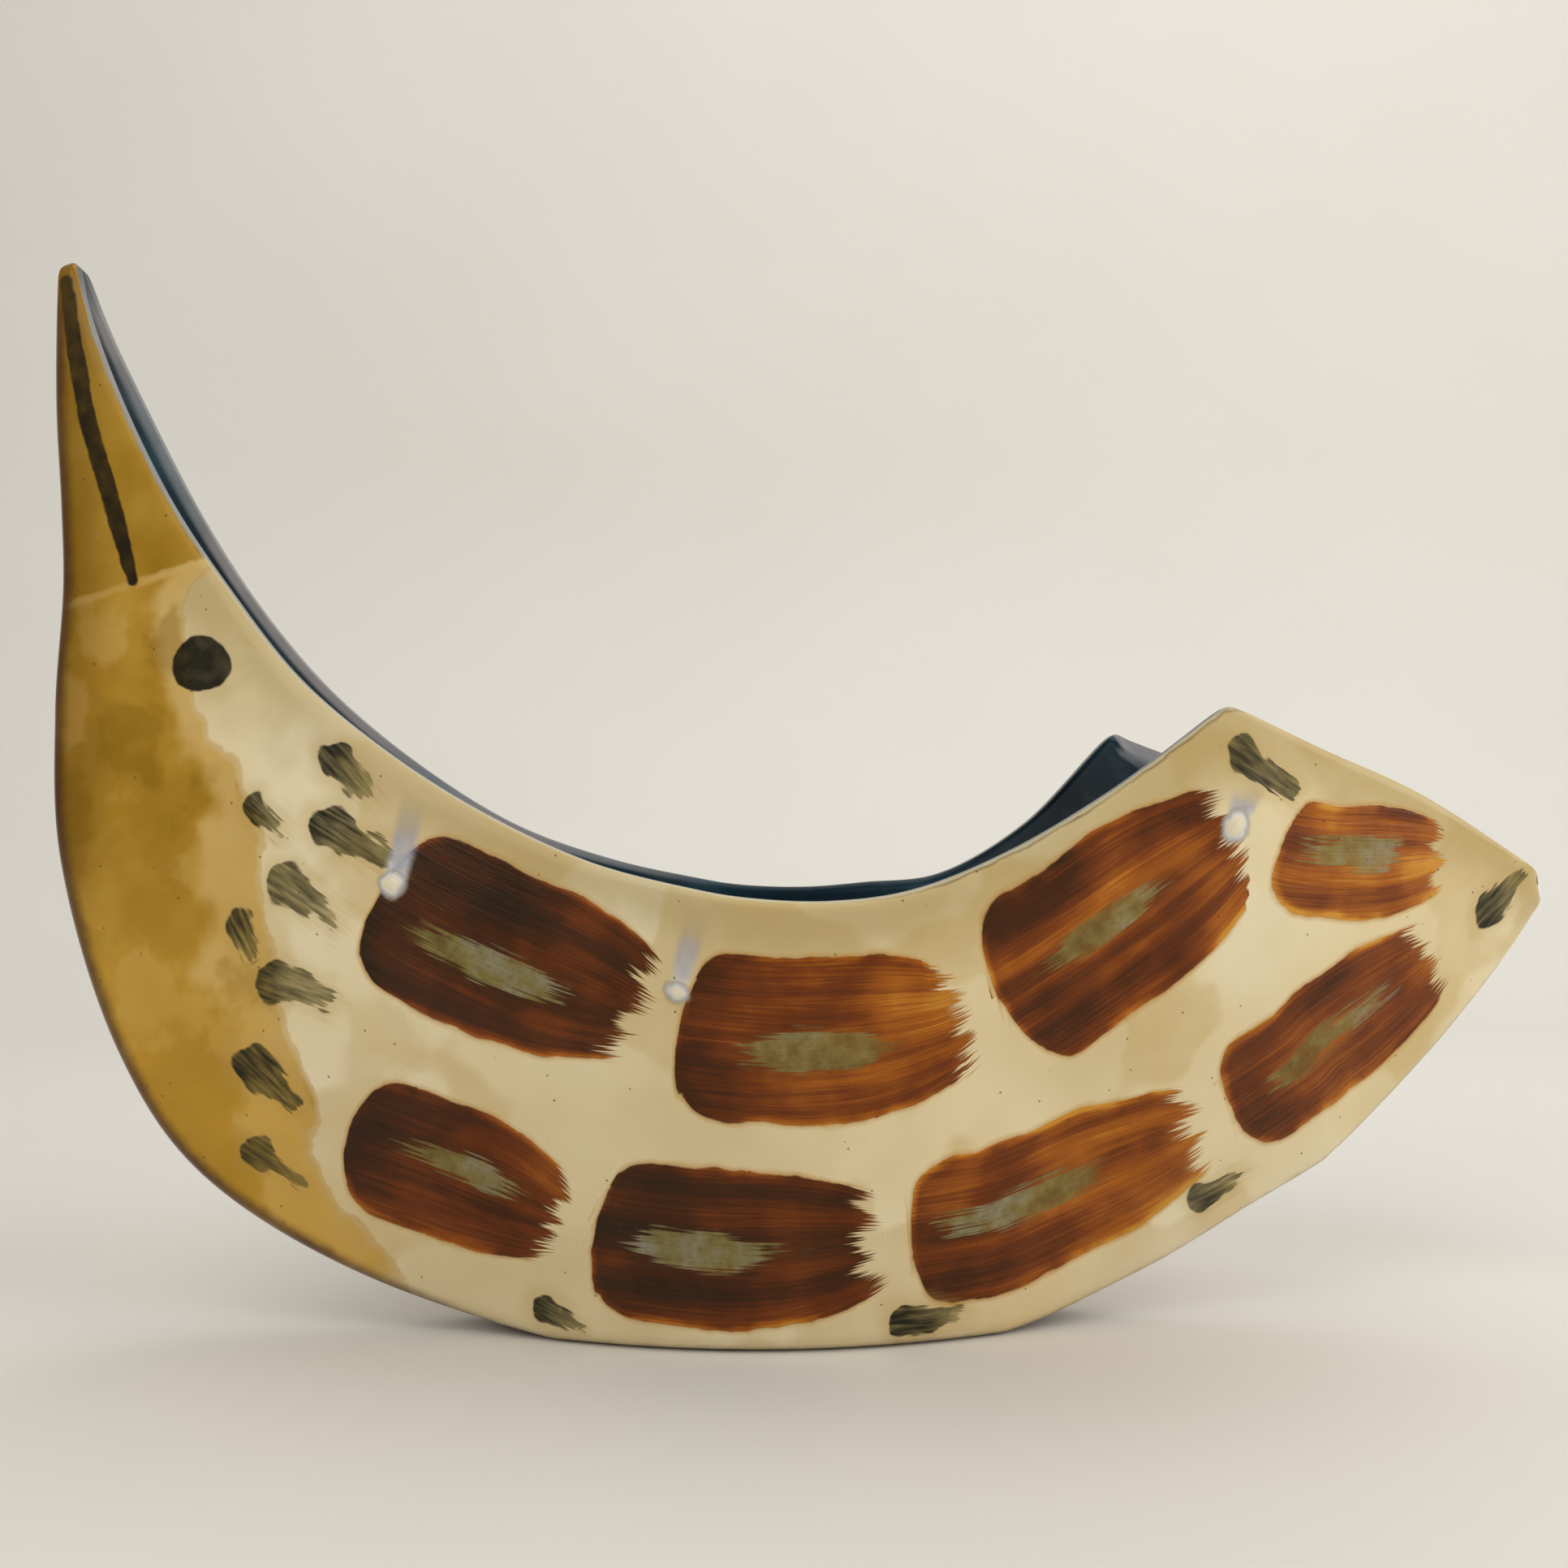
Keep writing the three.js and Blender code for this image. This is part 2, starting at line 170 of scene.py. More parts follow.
def start_half(x, taper, blend):
    """Half width where a wall starts at x, from the lens-shaped foot and the seams it runs out into."""
    off = (x - FOOT_MIDDLE) / (FOOT_LENGTH / 2 + taper)
    parting = FOOT_WIDTH / 2 * (1 - off**2) - SEAM_HALF - PROUD
    return (parting + np.hypot(parting, blend)) / 2


def swelling(share, least=0.0):
    """Rises from the least to 1 as a quarter circle does."""
    return least + (1 - least) * np.sqrt(1 - (1 - np.clip(share, 0, 1)) ** 2)


def shares(count):
    """Even steps from 0 to 1."""
    return np.linspace(0, 1, count)


def quarter(count):
    """Heights from 0 to 1 of even steps round a quarter turn."""
    return np.sin(shares(count) * math.pi / 2)


class Wall:
    """One wall as columns from its lower edge to its rim; d is a distance up each column."""

    def __init__(self, name, sign, sag_share, places):
        self.name = name
        self.sign = sign
        keel = lower_edge(places)
        rim = rim_line(places, sag_share)
        flat_rim = rim[:, [0, 2]]
        middle = (keel + flat_rim) / 2
        along = gone_along(middle)
        to_tail = along[-1] - along
        self.to_end = np.minimum(along, to_tail)
        rounded = swelling(self.to_end / TIP_ROUND, TIP_LEFT)[:, None]
        self.keel = middle + (keel - middle) * rounded
        self.rim = middle + (flat_rim - middle) * rounded
        shorter = TAIL_SHORT * sag_share * np.clip(1 - to_tail / (2 * TIP_RUN), 0, 1)
        self.keel[:, 0] -= shorter
        self.rim[:, 0] -= shorter
        self.run = np.linalg.norm(self.rim - self.keel, axis=1)
        self.start_outside = start_half(self.keel[:, 0], FOOT_TAPER, FOOT_BLEND)
        self.start_inside = start_half(self.keel[:, 0], FOOT_TAPER_INSIDE, FOOT_BLEND / 2)
        self.end = rim[:, 1] - RIM_BACK
        self.tip = swelling(self.to_end / TIP_RUN, TIP_LEFT)
        self.closed = swelling(to_tail / TIP_ROUND, TAIL_CLOSED)
        on_neck = np.clip((NECK_END - places) / NECK_FADE, 0, 1) * np.clip(along / NECK_START, 0, 1)
        self.bevelled = np.maximum(np.clip(places - CORNER + 1, 0, 1), NECK_BEVEL * on_neck)
        self.seam_run = self.held(SEAM_RUN)
        self.lip_run = self.held(LIP_RUN + (BEVEL_RUN - LIP_RUN) * self.bevelled)
        self.body_top = self.run - self.lip_run

    def held(self, size):
        """A size up the columns, made smaller where they are short."""
        return np.minimum(size, self.run * EDGE_MOST)

    def plain(self, d, start):
        """Half width of the slab's outer face with its belly, before the edges are rounded."""
        share = d / self.run
        foot = start + SEAM_HALF
        return foot + (self.end - foot) * share + 4 * BELLY * self.run * share * (1 - share)

    def lip(self, d):
        """0 below the lip and 1 on its crest."""
        return np.clip((d - self.run + self.lip_run) / self.lip_run, 0, 1)

    def lip_at(self, turn):
        """Distance up each column to a height of 0 to 1 on the lip."""
        return self.body_top + self.lip_run * turn

    def lip_cut(self, d):
        """How far the rounding of the lip goes into the slab."""
        return SLAB / 2 * (1 - LIP_FLAT) * (1 - swelling(1 - self.lip(d)))

    def outside(self, d, proud=0.0):
        """Half width of the clay's outer face, or of a coat that stands proud of it."""
        lip_cut = self.lip_cut(d) * (1 - (1 - BEVEL_SOFT) * self.bevelled)
        seam_cut = SEAM_HALF * (1 - swelling(d / self.seam_run))
        half = np.maximum(self.plain(d, self.start_outside) - seam_cut - lip_cut, JOINT)
        inner = self.inside(d)
        return inner + (half - inner) * self.tip + proud * self.tip

    def inside(self, d, proud=0.0):
        """Half width of the clay's inner face, or of a coat that stands proud of it."""
        bevel_cut = SLAB * (1 - BEVEL_LEFT) * self.lip(d)
        cut = self.lip_cut(d) + (bevel_cut - self.lip_cut(d)) * self.bevelled
        return np.maximum(self.plain(d, self.start_inside) - SLAB + cut - proud, JOINT)

    def spots(self, d, half):
        """A row of points at half widths."""
        flat = self.keel + (self.rim - self.keel) * (d / self.run)[:, None]
        return np.stack([flat[:, 0], self.sign * half * self.closed, flat[:, 1]], 1)

    def outer(self, d, proud=0.0, drop=0.0):
        """A row of points on the outer face or proud of it, let down by a drop."""
        return self.spots(d - drop, self.outside(d, proud))

    def inner(self, d, proud=0.0, drop=0.0):
        """A row of points on the inner face or proud of it, let down by a drop."""
        return self.spots(d - drop, self.inside(d, proud))


MERGE = 1e-6
SHARP_ANGLE = 50


def smooth_piece(bm, name):
    """A piece made from a bmesh, its faces turned outwards and shaded smooth."""
    bmesh.ops.recalc_face_normals(bm, faces=bm.faces)
    mesh = bpy.data.meshes.new(name)
    bm.to_mesh(mesh)
    bm.free()
    mesh.shade_smooth()
    piece = bpy.data.objects.new(name, mesh)
    bpy.context.scene.collection.objects.link(piece)
    return piece


def closed_body(name, rows):
    """A body wrapped by rows of points, the last row meeting the first, its two ends filled."""
    bm = bmesh.new()
    turns, columns = len(rows), len(rows[0])
    bmesh.ops.create_grid(bm, x_segments=columns - 1, y_segments=turns, size=1)
    for vert in bm.verts:
        column = round((vert.co.x + 1) / 2 * (columns - 1))
        turn = round((vert.co.y + 1) / 2 * turns)
        vert.co = rows[turn % turns][column]
    bmesh.ops.remove_doubles(bm, verts=bm.verts, dist=MERGE)
    bmesh.ops.dissolve_degenerate(bm, edges=bm.edges, dist=MERGE)
    bmesh.ops.holes_fill(bm, edges=[edge for edge in bm.edges if edge.is_boundary], sides=0)
    body = smooth_piece(bm, name)
    body.data.set_sharp_from_angle(angle=math.radians(SHARP_ANGLE))
    return body


COLUMNS = 440
TIP_COLUMNS = 16
TIP_CROWD = 1.5
FINE_STEPS = 6000


def even_places(count):
    """Places along the bowl whose columns stand about evenly apart, and closer at the two tips."""
    fine = np.linspace(0, LAST, FINE_STEPS)
    lines = (lower_edge(fine), rim_line(fine, 0))
    steps = [np.linalg.norm(np.diff(line, axis=0), axis=1) for line in lines]
    along = np.append(0, np.cumsum(np.maximum(*steps)))
    closer = 2 * TIP_RUN * shares(TIP_COLUMNS) ** TIP_CROWD
    even = np.linspace(closer[-1], along[-1] - closer[-1], count)
    return np.interp(np.unique(np.concatenate([closer, even, along[-1] - closer])), along, fine)


PLACES = even_places(COLUMNS)
left = Wall("left", -1, 0, PLACES)
right = Wall("right", 1, 1, PLACES)
WALLS = (left, right)


def srgb(red, green, blue):
    """A colour of 0 to 255 a channel as Blender's linear one."""
    channels = [c / 255 for c in (red, green, blue)]
    return tuple(c / 12.92 if c <= 0.04045 else ((c + 0.055) / 1.055) ** 2.4 for c in channels) + (1.0,)


class Finish:
    """Nodes of one fired finish, laid on in the order that they are asked for."""

    def __init__(self, name):
        self.material = bpy.data.materials.new(name)
        self.material.use_nodes = True
        self.tree = self.material.node_tree
        self.shader = self.tree.nodes["Principled BSDF"]
        self.spot = self.node("ShaderNodeTexCoord").outputs["Object"]

    def node(self, kind, **settings):
        made = self.tree.nodes.new(kind)
        for setting, value in settings.items():
            setattr(made, setting, value)
        return made

    def feed(self, socket, value):
        if isinstance(value, bpy.types.NodeSocket):
            self.tree.links.new(value, socket)
        else:
            socket.default_value = value

    def reckon(self, operation, *values):
        made = self.node("ShaderNodeMath", operation=operation)
        for socket, value in zip(made.inputs, values):
            self.feed(socket, value)
        return made.outputs[0]

    def plus(self, total, *others):
        for value in others:
            total = self.reckon("ADD", total, value)
        return total

    def less(self, whole, part):
        return self.reckon("SUBTRACT", whole, part)

    def times(self, first, second):
        return self.reckon("MULTIPLY", first, second)

    def read(self, attribute):
        """What each point of the mesh was given under a name."""
        return self.node("ShaderNodeAttribute", attribute_name=attribute).outputs["Fac"]

    def grain(self, size, detail=2.0, spot=None):
        """Cloudy noise whose lumps are about size metres across."""
        made = self.node("ShaderNodeTexNoise")
        self.feed(made.inputs["Vector"], self.spot if spot is None else spot)
        self.feed(made.inputs["Scale"], 0.5 / size)
        self.feed(made.inputs["Detail"], detail)
        return made.outputs[0]

    def dots(self, size):
        """Distance from scattered points, in lengths of size."""
        made = self.node("ShaderNodeTexVoronoi")
        self.feed(made.inputs["Vector"], self.spot)
        self.feed(made.inputs["Scale"], 1 / size)
        return made.outputs["Distance"]

    def step(self, value, low, high):
        """Rises softly from 0 at low to 1 at high."""
        made = self.node("ShaderNodeMapRange", interpolation_type="SMOOTHSTEP")
        for socket, given in zip(made.inputs, (value, low, high, 0.0, 1.0)):
            self.feed(socket, given)
        return made.outputs[0]

    def between(self, share, low, high):
        """Goes evenly from low to high as a share goes from 0 to 1."""
        made = self.node("ShaderNodeMapRange")
        for socket, given in zip(made.inputs, (share, 0.0, 1.0, low, high)):
            self.feed(socket, given)
        return made.outputs[0]

    def swing(self, grain, reach):
        """Noise that goes as far to either side of 0."""
        return self.between(grain, -reach, reach)

    def ragged(self, edge, grain, reach):
        """An edge that noise moves to and fro."""
        return self.plus(edge, self.swing(grain, reach))

    def over(self, under, colour, share, most=1.0):
        """A colour laid over another by a share of 0 to 1, and at most so thick."""
        made = self.node("ShaderNodeMix", data_type="RGBA")
        self.feed(made.inputs["Factor"], share if most == 1.0 else self.times(share, most))
        for socket, given in zip([s for s in made.inputs if s.type == "RGBA"], (under, colour)):
            self.feed(socket, given)
        return [s for s in made.outputs if s.type == "RGBA"][0]

    def ramp(self, share, stops):
        """The colour at a share between stops, each a share and a colour."""
        made = self.node("ShaderNodeValToRGB")
        for _ in stops[2:]:
            made.color_ramp.elements.new(0.5)
        for element, (position, colour) in zip(made.color_ramp.elements, stops):
            element.position = position
            element.color = colour
        self.feed(made.inputs["Fac"], share)
        return made.outputs["Color"]

    def relief(self, height, depth):
        """Bumps of the surface; height is a share of depth metres."""
        made = self.node("ShaderNodeBump")
        self.feed(made.inputs["Height"], height)
        made.inputs["Distance"].default_value = depth
        self.tree.links.new(made.outputs["Normal"], self.shader.inputs["Normal"])

    def colour(self, value):
        self.feed(self.shader.inputs["Base Color"], value)

    def roughness(self, value):
        self.feed(self.shader.inputs["Roughness"], value)

    def shine(self, level):
        self.shader.inputs["Specular IOR Level"].default_value = level


TOAST = srgb(132, 92, 56)
DARK_TOAST = srgb(96, 62, 36)
GROG = srgb(62, 40, 26)
clay = Finish("bare_stoneware")
grog = clay.grain(0.0007, detail=4)
toast = clay.over(TOAST, DARK_TOAST, clay.step(clay.grain(0.02, detail=3), 0.35, 0.7))
clay.colour(clay.over(toast, GROG, clay.step(grog, 0.62, 0.7)))
clay.roughness(clay.between(grog, 0.62, 0.85))
clay.relief(grog, 0.0002)

# The clay stops a few columns before the tail's end, where the coats close over it.
CLAY_ROWS = 10
EDGE_ROWS = 5
BARE_COLUMNS = 7
for wall in WALLS:
    crest_drop = wall.held(PROUD)
    rise = wall.body_top - wall.seam_run
    rows = [wall.outer(share * wall.seam_run) for share in shares(EDGE_ROWS)[:-1] ** 2]
    rows += [wall.outer(wall.seam_run + share * rise) for share in shares(CLAY_ROWS)]
    rows += [wall.outer(wall.lip_at(turn), drop=crest_drop * turn) for turn in quarter(EDGE_ROWS)[1:]]
    rows += [wall.inner(wall.lip_at(turn), drop=crest_drop * turn) for turn in quarter(EDGE_ROWS)[::-1]]
    rows += [wall.inner(share * wall.body_top) for share in shares(CLAY_ROWS)[-2::-1]]
    clay_wall = closed_body(f"{wall.name}_clay_wall", [row[:-BARE_COLUMNS] for row in rows])
    clay_wall.data.materials.append(clay.material)
    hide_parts(f"{wall.name}_wall")
    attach(clay_wall, "root")

# Base slab: a lens-shaped tile of the same clay, luted between the feet of the walls. Its bare underside
# is what the bowl stands on.
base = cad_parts["base_slab"]
base.data.materials.clear()
base.data.materials.append(clay.material)

# Coils: soft ropes of clay pressed with a fingertip into the V of the breast and tail seams and into the
# corner between base and walls, so that the inside is smoothed to a hollow. They carry the liner glaze.
BASE_THICK = 0.008
BASE_TOP = BASE_THICK + FIT
FLOOR = BASE_THICK + PROUD
COIL_TIP_HALF = 0.0012
COIL_HALF = 0.005
COIL_NARROW = 0.6
COIL_LOW_MOST = 0.5
COIL_TOP_MOST = 0.65
COIL_LEAST = 0.08
COIL_DIP = 0.9
COIL_DIP_MOST = 0.8
COIL_SHORT = 0.007
COIL_STEPS = 13
SEAM_CLEAR = 1.2
FOOT_COIL = 0.009
FOOT_COIL_STEPS = 9
TUCK = 0.0005
HALVINGS = 40
SLOPE_LEAST = 0.2


def where_wide(wall, half):
    """Distance up each column where the hollow reaches a half width."""
    low = np.zeros_like(wall.run)
    high = wall.body_top
    for _ in range(HALVINGS):
        middle = (low + high) / 2
        narrow = wall.plain(middle, wall.start_inside) - SLAB < half
        low = np.where(narrow, middle, low)
        high = np.where(narrow, high, middle)
    return low


def where_high(wall, height):
    """Distance up each column where it reaches a height, or 0 where it starts above that."""
    climb = np.maximum(height - wall.keel[:, 1], 0)
    slope = np.maximum((wall.rim[:, 1] - wall.keel[:, 1]) / wall.run, SLOPE_LEAST)
    return climb / slope


def midway(d_left, d_right, share, half):
    """Points across the bowl from the left wall, at share 0, to the right wall, at share 1."""
    points = left.spots(d_left, 0) * (1 - share) + right.spots(d_right, 0) * share
    points[:, 1] = half * (2 * share - 1)
    return points


for wall in WALLS:
    wall.hollow = np.maximum(wall.plain(wall.body_top, wall.start_inside) - SLAB, 0)
    tip = np.minimum(COIL_TIP_HALF, COIL_NARROW**2 * wall.hollow)
    face = np.minimum(COIL_HALF, COIL_NARROW * wall.hollow)
    low = np.maximum(where_wide(wall, tip), where_high(wall, BASE_TOP))
    wall.coil_low = np.clip(low, wall.seam_run * SEAM_CLEAR, wall.run * COIL_LOW_MOST)
    top = np.maximum(where_wide(wall, face), where_high(wall, BASE_TOP + FOOT_COIL))
    wall.coil_top = np.clip(top, wall.coil_low + wall.run * COIL_LEAST, wall.run * COIL_TOP_MOST)
    wall.floor = where_high(wall, FLOOR)

floor_half = np.where(left.keel[:, 1] == 0, left.inside(left.floor), 0)
lined = np.flatnonzero((left.hollow > COIL_TIP_HALF + COAT) & (left.to_end > COIL_SHORT))
floored = np.flatnonzero(floor_half > FOOT_COIL)
floor_span = slice(floored[0], floored[-1] + 1)

LINER = [(0.3, srgb(5, 16, 22)), (0.55, srgb(21, 43, 52)), (0.75, srgb(54, 84, 91))]
LINER_STREAK = srgb(52, 66, 72)
CREST_WARM = srgb(130, 126, 125)
CREST_COOL = srgb(112, 117, 121)
lining = Finish("blue_black_liner_glaze")
pool = lining.grain(0.03, detail=3)
streak = lining.grain(0.004, detail=4)
inside = lining.ramp(pool, LINER)
inside = lining.over(inside, LINER_STREAK, lining.step(streak, 0.56, 0.74), 0.35)
crest = lining.over(CREST_WARM, CREST_COOL, lining.step(pool, 0.4, 0.6))
thin = lining.times(lining.read("bevel"), lining.between(streak, 0.7, 1.15))
lining.colour(lining.over(inside, crest, thin))
lining.roughness(lining.between(streak, 0.14, 0.28))
lining.shine(0.09)
lining.relief(lining.grain(0.006, detail=3), 0.0001)

coil_edge = left.inside(left.coil_top, PROUD) + TUCK
dip = np.minimum(COIL_DIP * coil_edge, COIL_DIP_MOST * (left.coil_top - left.coil_low))
seam_rows = []
for share in shares(COIL_STEPS):
    bowed = dip * (1 - (2 * share - 1) ** 2)
    seam_rows.append(midway(left.coil_top - bowed, right.coil_top - bowed, share, coil_edge))
for share in (1, 0):
    seam_rows.append(midway(left.coil_low, right.coil_low, share, left.inside(left.coil_low)))
for name, first, last in (
    ("breast_seam_coil", lined[0], floored[0] + 2),
    ("tail_seam_coil", floored[-1] - 1, lined[-1] + 1),
):
    coil = closed_body(f"{name}_fillet", [row[first:last] for row in seam_rows])
    coil.data.materials.append(lining.material)
    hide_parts(name)
    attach(coil, "root")

for wall in WALLS:
    reach = np.maximum(wall.inside(wall.floor) - FOOT_COIL, FIT)
    foot = wall.spots(wall.floor, reach)
    heel = wall.inner(wall.floor)
    head = wall.spots(wall.coil_top, wall.inside(wall.coil_top, PROUD) + TUCK)
    rows = [foot * (1 - t) ** 2 + heel * 2 * t * (1 - t) + head * t**2 for t in shares(FOOT_COIL_STEPS)]
    rows.append(wall.inner(wall.coil_low))
    rows.append(wall.spots(wall.coil_low, reach))
    coil = closed_body(f"{wall.name}_foot_coil_fillet", [row[floor_span] for row in rows])
    coil.data.materials.append(lining.material)
    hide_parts(f"{wall.name}_foot_coil")
    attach(coil, "root")

# Floor glaze: the liner glaze that ran down while the inside was poured. It lies pooled on the base
# between the two foot coils and is as thick there as on the walls.
POOL_STEPS = 5
pool_half = np.maximum(floor_half - FOOT_COIL + 2 * TUCK, 2 * FIT)
rows = [midway(left.floor, right.floor, share, pool_half) for share in shares(POOL_STEPS)]
rows += [midway(left.floor, right.floor, share, pool_half) - (0, 0, COAT) for share in (1, 0)]
floor_pool = closed_body("floor_glaze_pool", [row[floor_span] for row in rows])
floor_pool.data.materials.append(lining.material)
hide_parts("floor_glaze")
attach(floor_pool, "root")

# Liner coats: a blue-black gloss poured round the inside and run up over the rim, where it breaks thin
# and grey along the edges.
LINER_ROWS = 40
CREST_ROWS = 7
LIP_ROWS = 8
BACK_ROWS = 8
BACK_LIP_ROWS = 4
CREST_GREY = (0.45, 1.0)
CREST_FADE = 0.0008
CREST_LEAST = 0.002


def beside(line, spots):
    """How far along a line each spot lies, how far to its left, and the line's length."""
    line = np.array(line)
    steps = np.diff(line, axis=0)
    lengths = np.linalg.norm(steps, axis=1)
    gone = gone_along(line)
    along, across = np.zeros(len(spots)), np.full(len(spots), np.inf)
    for start, step, length, before in zip(line, steps, lengths, gone):
        off = spots - start
        share = np.clip(off @ step / length**2, 0, 1)
        away = off - share[:, None] * step
        gap = np.hypot(away[:, 0], away[:, 1])
        closer = gap < np.abs(across)
        side = np.where(step[0] * off[:, 1] - step[1] * off[:, 0] < 0, -1, 1)
        along = np.where(closer, before + share * length, along)
        across = np.where(closer, side * gap, across)
    return along, across, gone[-1]


def side_spots(mesh):
    """The points of a mesh as the photographed side shows them."""
    spots = np.zeros(len(mesh.vertices) * 3)
    mesh.vertices.foreach_get("co", spots)
    return spots.reshape(-1, 3)[:, [0, 2]]


def mark(mesh, name, value):
    mesh.attributes.new(name, "FLOAT", "POINT").data.foreach_set("value", value.astype(np.float32))


def bevel_share(wall, spots):
    """1 where the glaze breaks thin: along the crest of the neck and all over the bevel of the tail."""
    along, across, _ = beside(wall.rim, spots)
    gone = gone_along(wall.rim)
    bevelled = np.interp(along, gone, wall.bevelled)
    reach = np.interp(along, gone, wall.lip_run) * np.interp(bevelled, (NECK_BEVEL, 1), CREST_GREY)
    reach = np.maximum(reach, CREST_LEAST)
    return np.clip(bevelled / NECK_BEVEL, 0, 1) * np.clip((reach - np.abs(across)) / CREST_FADE, 0, 1)


for wall in WALLS:
    crest_drop = wall.held(COAT)
    low = np.maximum(wall.coil_top - 3 * TUCK, where_wide(wall, PROUD + 2 * JOINT))
    low = np.minimum(low, wall.body_top)
    rise = wall.body_top - low
    outer_crest, inner_crest = wall.outer(wall.run, PROUD), wall.inner(wall.run, PROUD)
    rows = [outer_crest * (1 - share) + inner_crest * share for share in shares(CREST_ROWS)[:-1]]
    rows += [wall.inner(wall.lip_at(turn), PROUD) for turn in quarter(LIP_ROWS)[:0:-1]]
    rows += [wall.inner(wall.body_top - rise * share, PROUD) for share in shares(LINER_ROWS)]
    rows += [wall.inner(low + rise * share, FIT) for share in shares(BACK_ROWS)]
    rows += [wall.inner(wall.lip_at(turn), FIT, crest_drop * turn) for turn in quarter(BACK_LIP_ROWS)[1:]]
    rows.append(wall.outer(wall.run, FIT, crest_drop))
    liner = closed_body(f"{wall.name}_liner_coat", rows)
    mark(liner.data, "bevel", bevel_share(wall, side_spots(liner.data)))
    liner.data.materials.append(lining.material)
    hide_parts(f"{wall.name}_liner_glaze")
    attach(liner, "root")

# Outer coats: cream gloss glaze over slip painting that was brushed on before the firing. The head and
# breast are washed with ochre and have a dot for an eye and a line for the mouth. Broad iron-brown feathers
# lie along the body, and drips of opal glaze have run down and ended in raised beads.
COAT_ROWS = 128
COAT_CROWD = 1.15
COAT_START = 0.02
COAT_EDGE = 0.0022
COAT_BACK_LIP_ROWS = 3
PAINT_SEEDS = (5, 8)
LINE_STEPS = 24
FAR_OFF = -0.03


def flow(places, heights):
    """Points at places along the bowl, at shares of the way from a wall's lower edge up to its rim."""
    places = np.array(places, float)
    keel = lower_edge(places)
    rim = rim_line(places, 0)[:, [0, 2]]
    return keel + (rim - keel) * np.reshape(heights, (-1, 1))


def upper(marks, values):
    """Keeps, spot by spot, the values of the mark that covers it most; the first name is that cover."""
    cover = next(iter(values))
    for name, value in values.items():
        marks.setdefault(name, np.full(len(value), FAR_OFF if "edge" in name else 0.0))
    nearer = values[cover] > marks[cover]
    for name, value in values.items():
        marks[name] = np.where(nearer, value, marks[name])


# Feathers: place and height where the brush is pressed down, where it is lifted, and half width.
FEATHERS = [
    (7.10, 0.72, 9.72, 0.74, 0.0205),
    (9.92, 0.73, 12.40, 0.73, 0.0215),
    (12.55, 0.73, 15.60, 0.76, 0.0215),
    (8.42, 0.26, 9.86, 0.28, 0.0190),
    (9.97, 0.27, 11.52, 0.26, 0.0205),
    (11.60, 0.26, 13.92, 0.25, 0.0205),
    (14.05, 0.26, 18.45, 0.27, 0.0175),
    (17.02, 0.70, 18.95, 0.64, 0.0140),
]
FEATHER_WIDER = (0.95, 1.05)
FEATHER_BEND = 0.0045
FEATHER_BENDS = (-0.6, 1.0)
FEATHER_TILTS = (-0.012, 0.012)
FEATHER_RUN_ON = 0.02
FEATHER_PRESS = 0.014
FEATHER_END = 0.002
FEATHER_LIFT = 0.5
FEATHER_ROUND = 2.6
FEATHER_APART = 0.1
PATCH_PLACES = (0.36, 0.5)
PATCH_DRIFTS = (-0.2, 0.2)
PATCH_HALF = 0.0062
PATCH_WIDER = (0.55, 1.1)
PATCH_RUN = 0.27
TONE_RISE = 1.3
TONE_START = 0.25
TONE_SHIFTS = (-0.2, 0.2)


def run_on(line, reach):
    """A line carried straight on at both ends."""
    first, last = line[0] - line[1], line[-1] - line[-2]
    before = line[0] + reach * first / np.linalg.norm(first)
    after = line[-1] + reach * last / np.linalg.norm(last)
    return np.vstack([before, line, after])


def feather_marks(marks, spots, random):
    for order, (first, low, last, high, half) in enumerate(FEATHERS):
        half *= random.uniform(*FEATHER_WIDER)
        bend = FEATHER_BEND * random.uniform(*FEATHER_BENDS)
        tilt = random.uniform(*FEATHER_TILTS)
        t = shares(LINE_STEPS)
        line = flow(first + (last - first) * t, low - tilt + (high - low + 2 * tilt) * t)
        line[:, 1] += bend * np.sin(math.pi * t)
        along, across, length = beside(run_on(line, FEATHER_RUN_ON), spots)
        along, length = along - FEATHER_RUN_ON, length - 2 * FEATHER_RUN_ON
        share = along / length
        narrowing = 1 - FEATHER_LIFT * np.clip(2 * share - 1, 0, 1) ** 2
        pressed = np.maximum(1 - along / FEATHER_PRESS, 0) ** (FEATHER_ROUND / 2)
        sideways = np.abs(across / (half * narrowing)) ** (FEATHER_ROUND / 2)
        past = np.hypot(sideways, pressed) ** (2 / FEATHER_ROUND)
        middle = random.uniform(*PATCH_PLACES)
        drift = random.uniform(*PATCH_DRIFTS) * half
        patch_half = PATCH_HALF * random.uniform(*PATCH_WIDER)
        off_patch = np.hypot((share - middle) / PATCH_RUN, (across - drift) / patch_half)
        toward_tail = line[LINE_STEPS // 2, 0] / LENGTH + 0.5
        tone = np.clip(TONE_RISE * toward_tail - TONE_START + random.uniform(*TONE_SHIFTS), 0, 1)
        values = {
            "feather_edge": np.minimum(half * (1 - past), length + FEATHER_END - along),
            "feather_lane": across / narrowing + order * FEATHER_APART,
            "feather_along": along,
            "feather_share": share,
            "feather_tone": np.full(len(spots), tone),
            "patch_edge": patch_half * (1 - off_patch),
        }
        upper(marks, values)


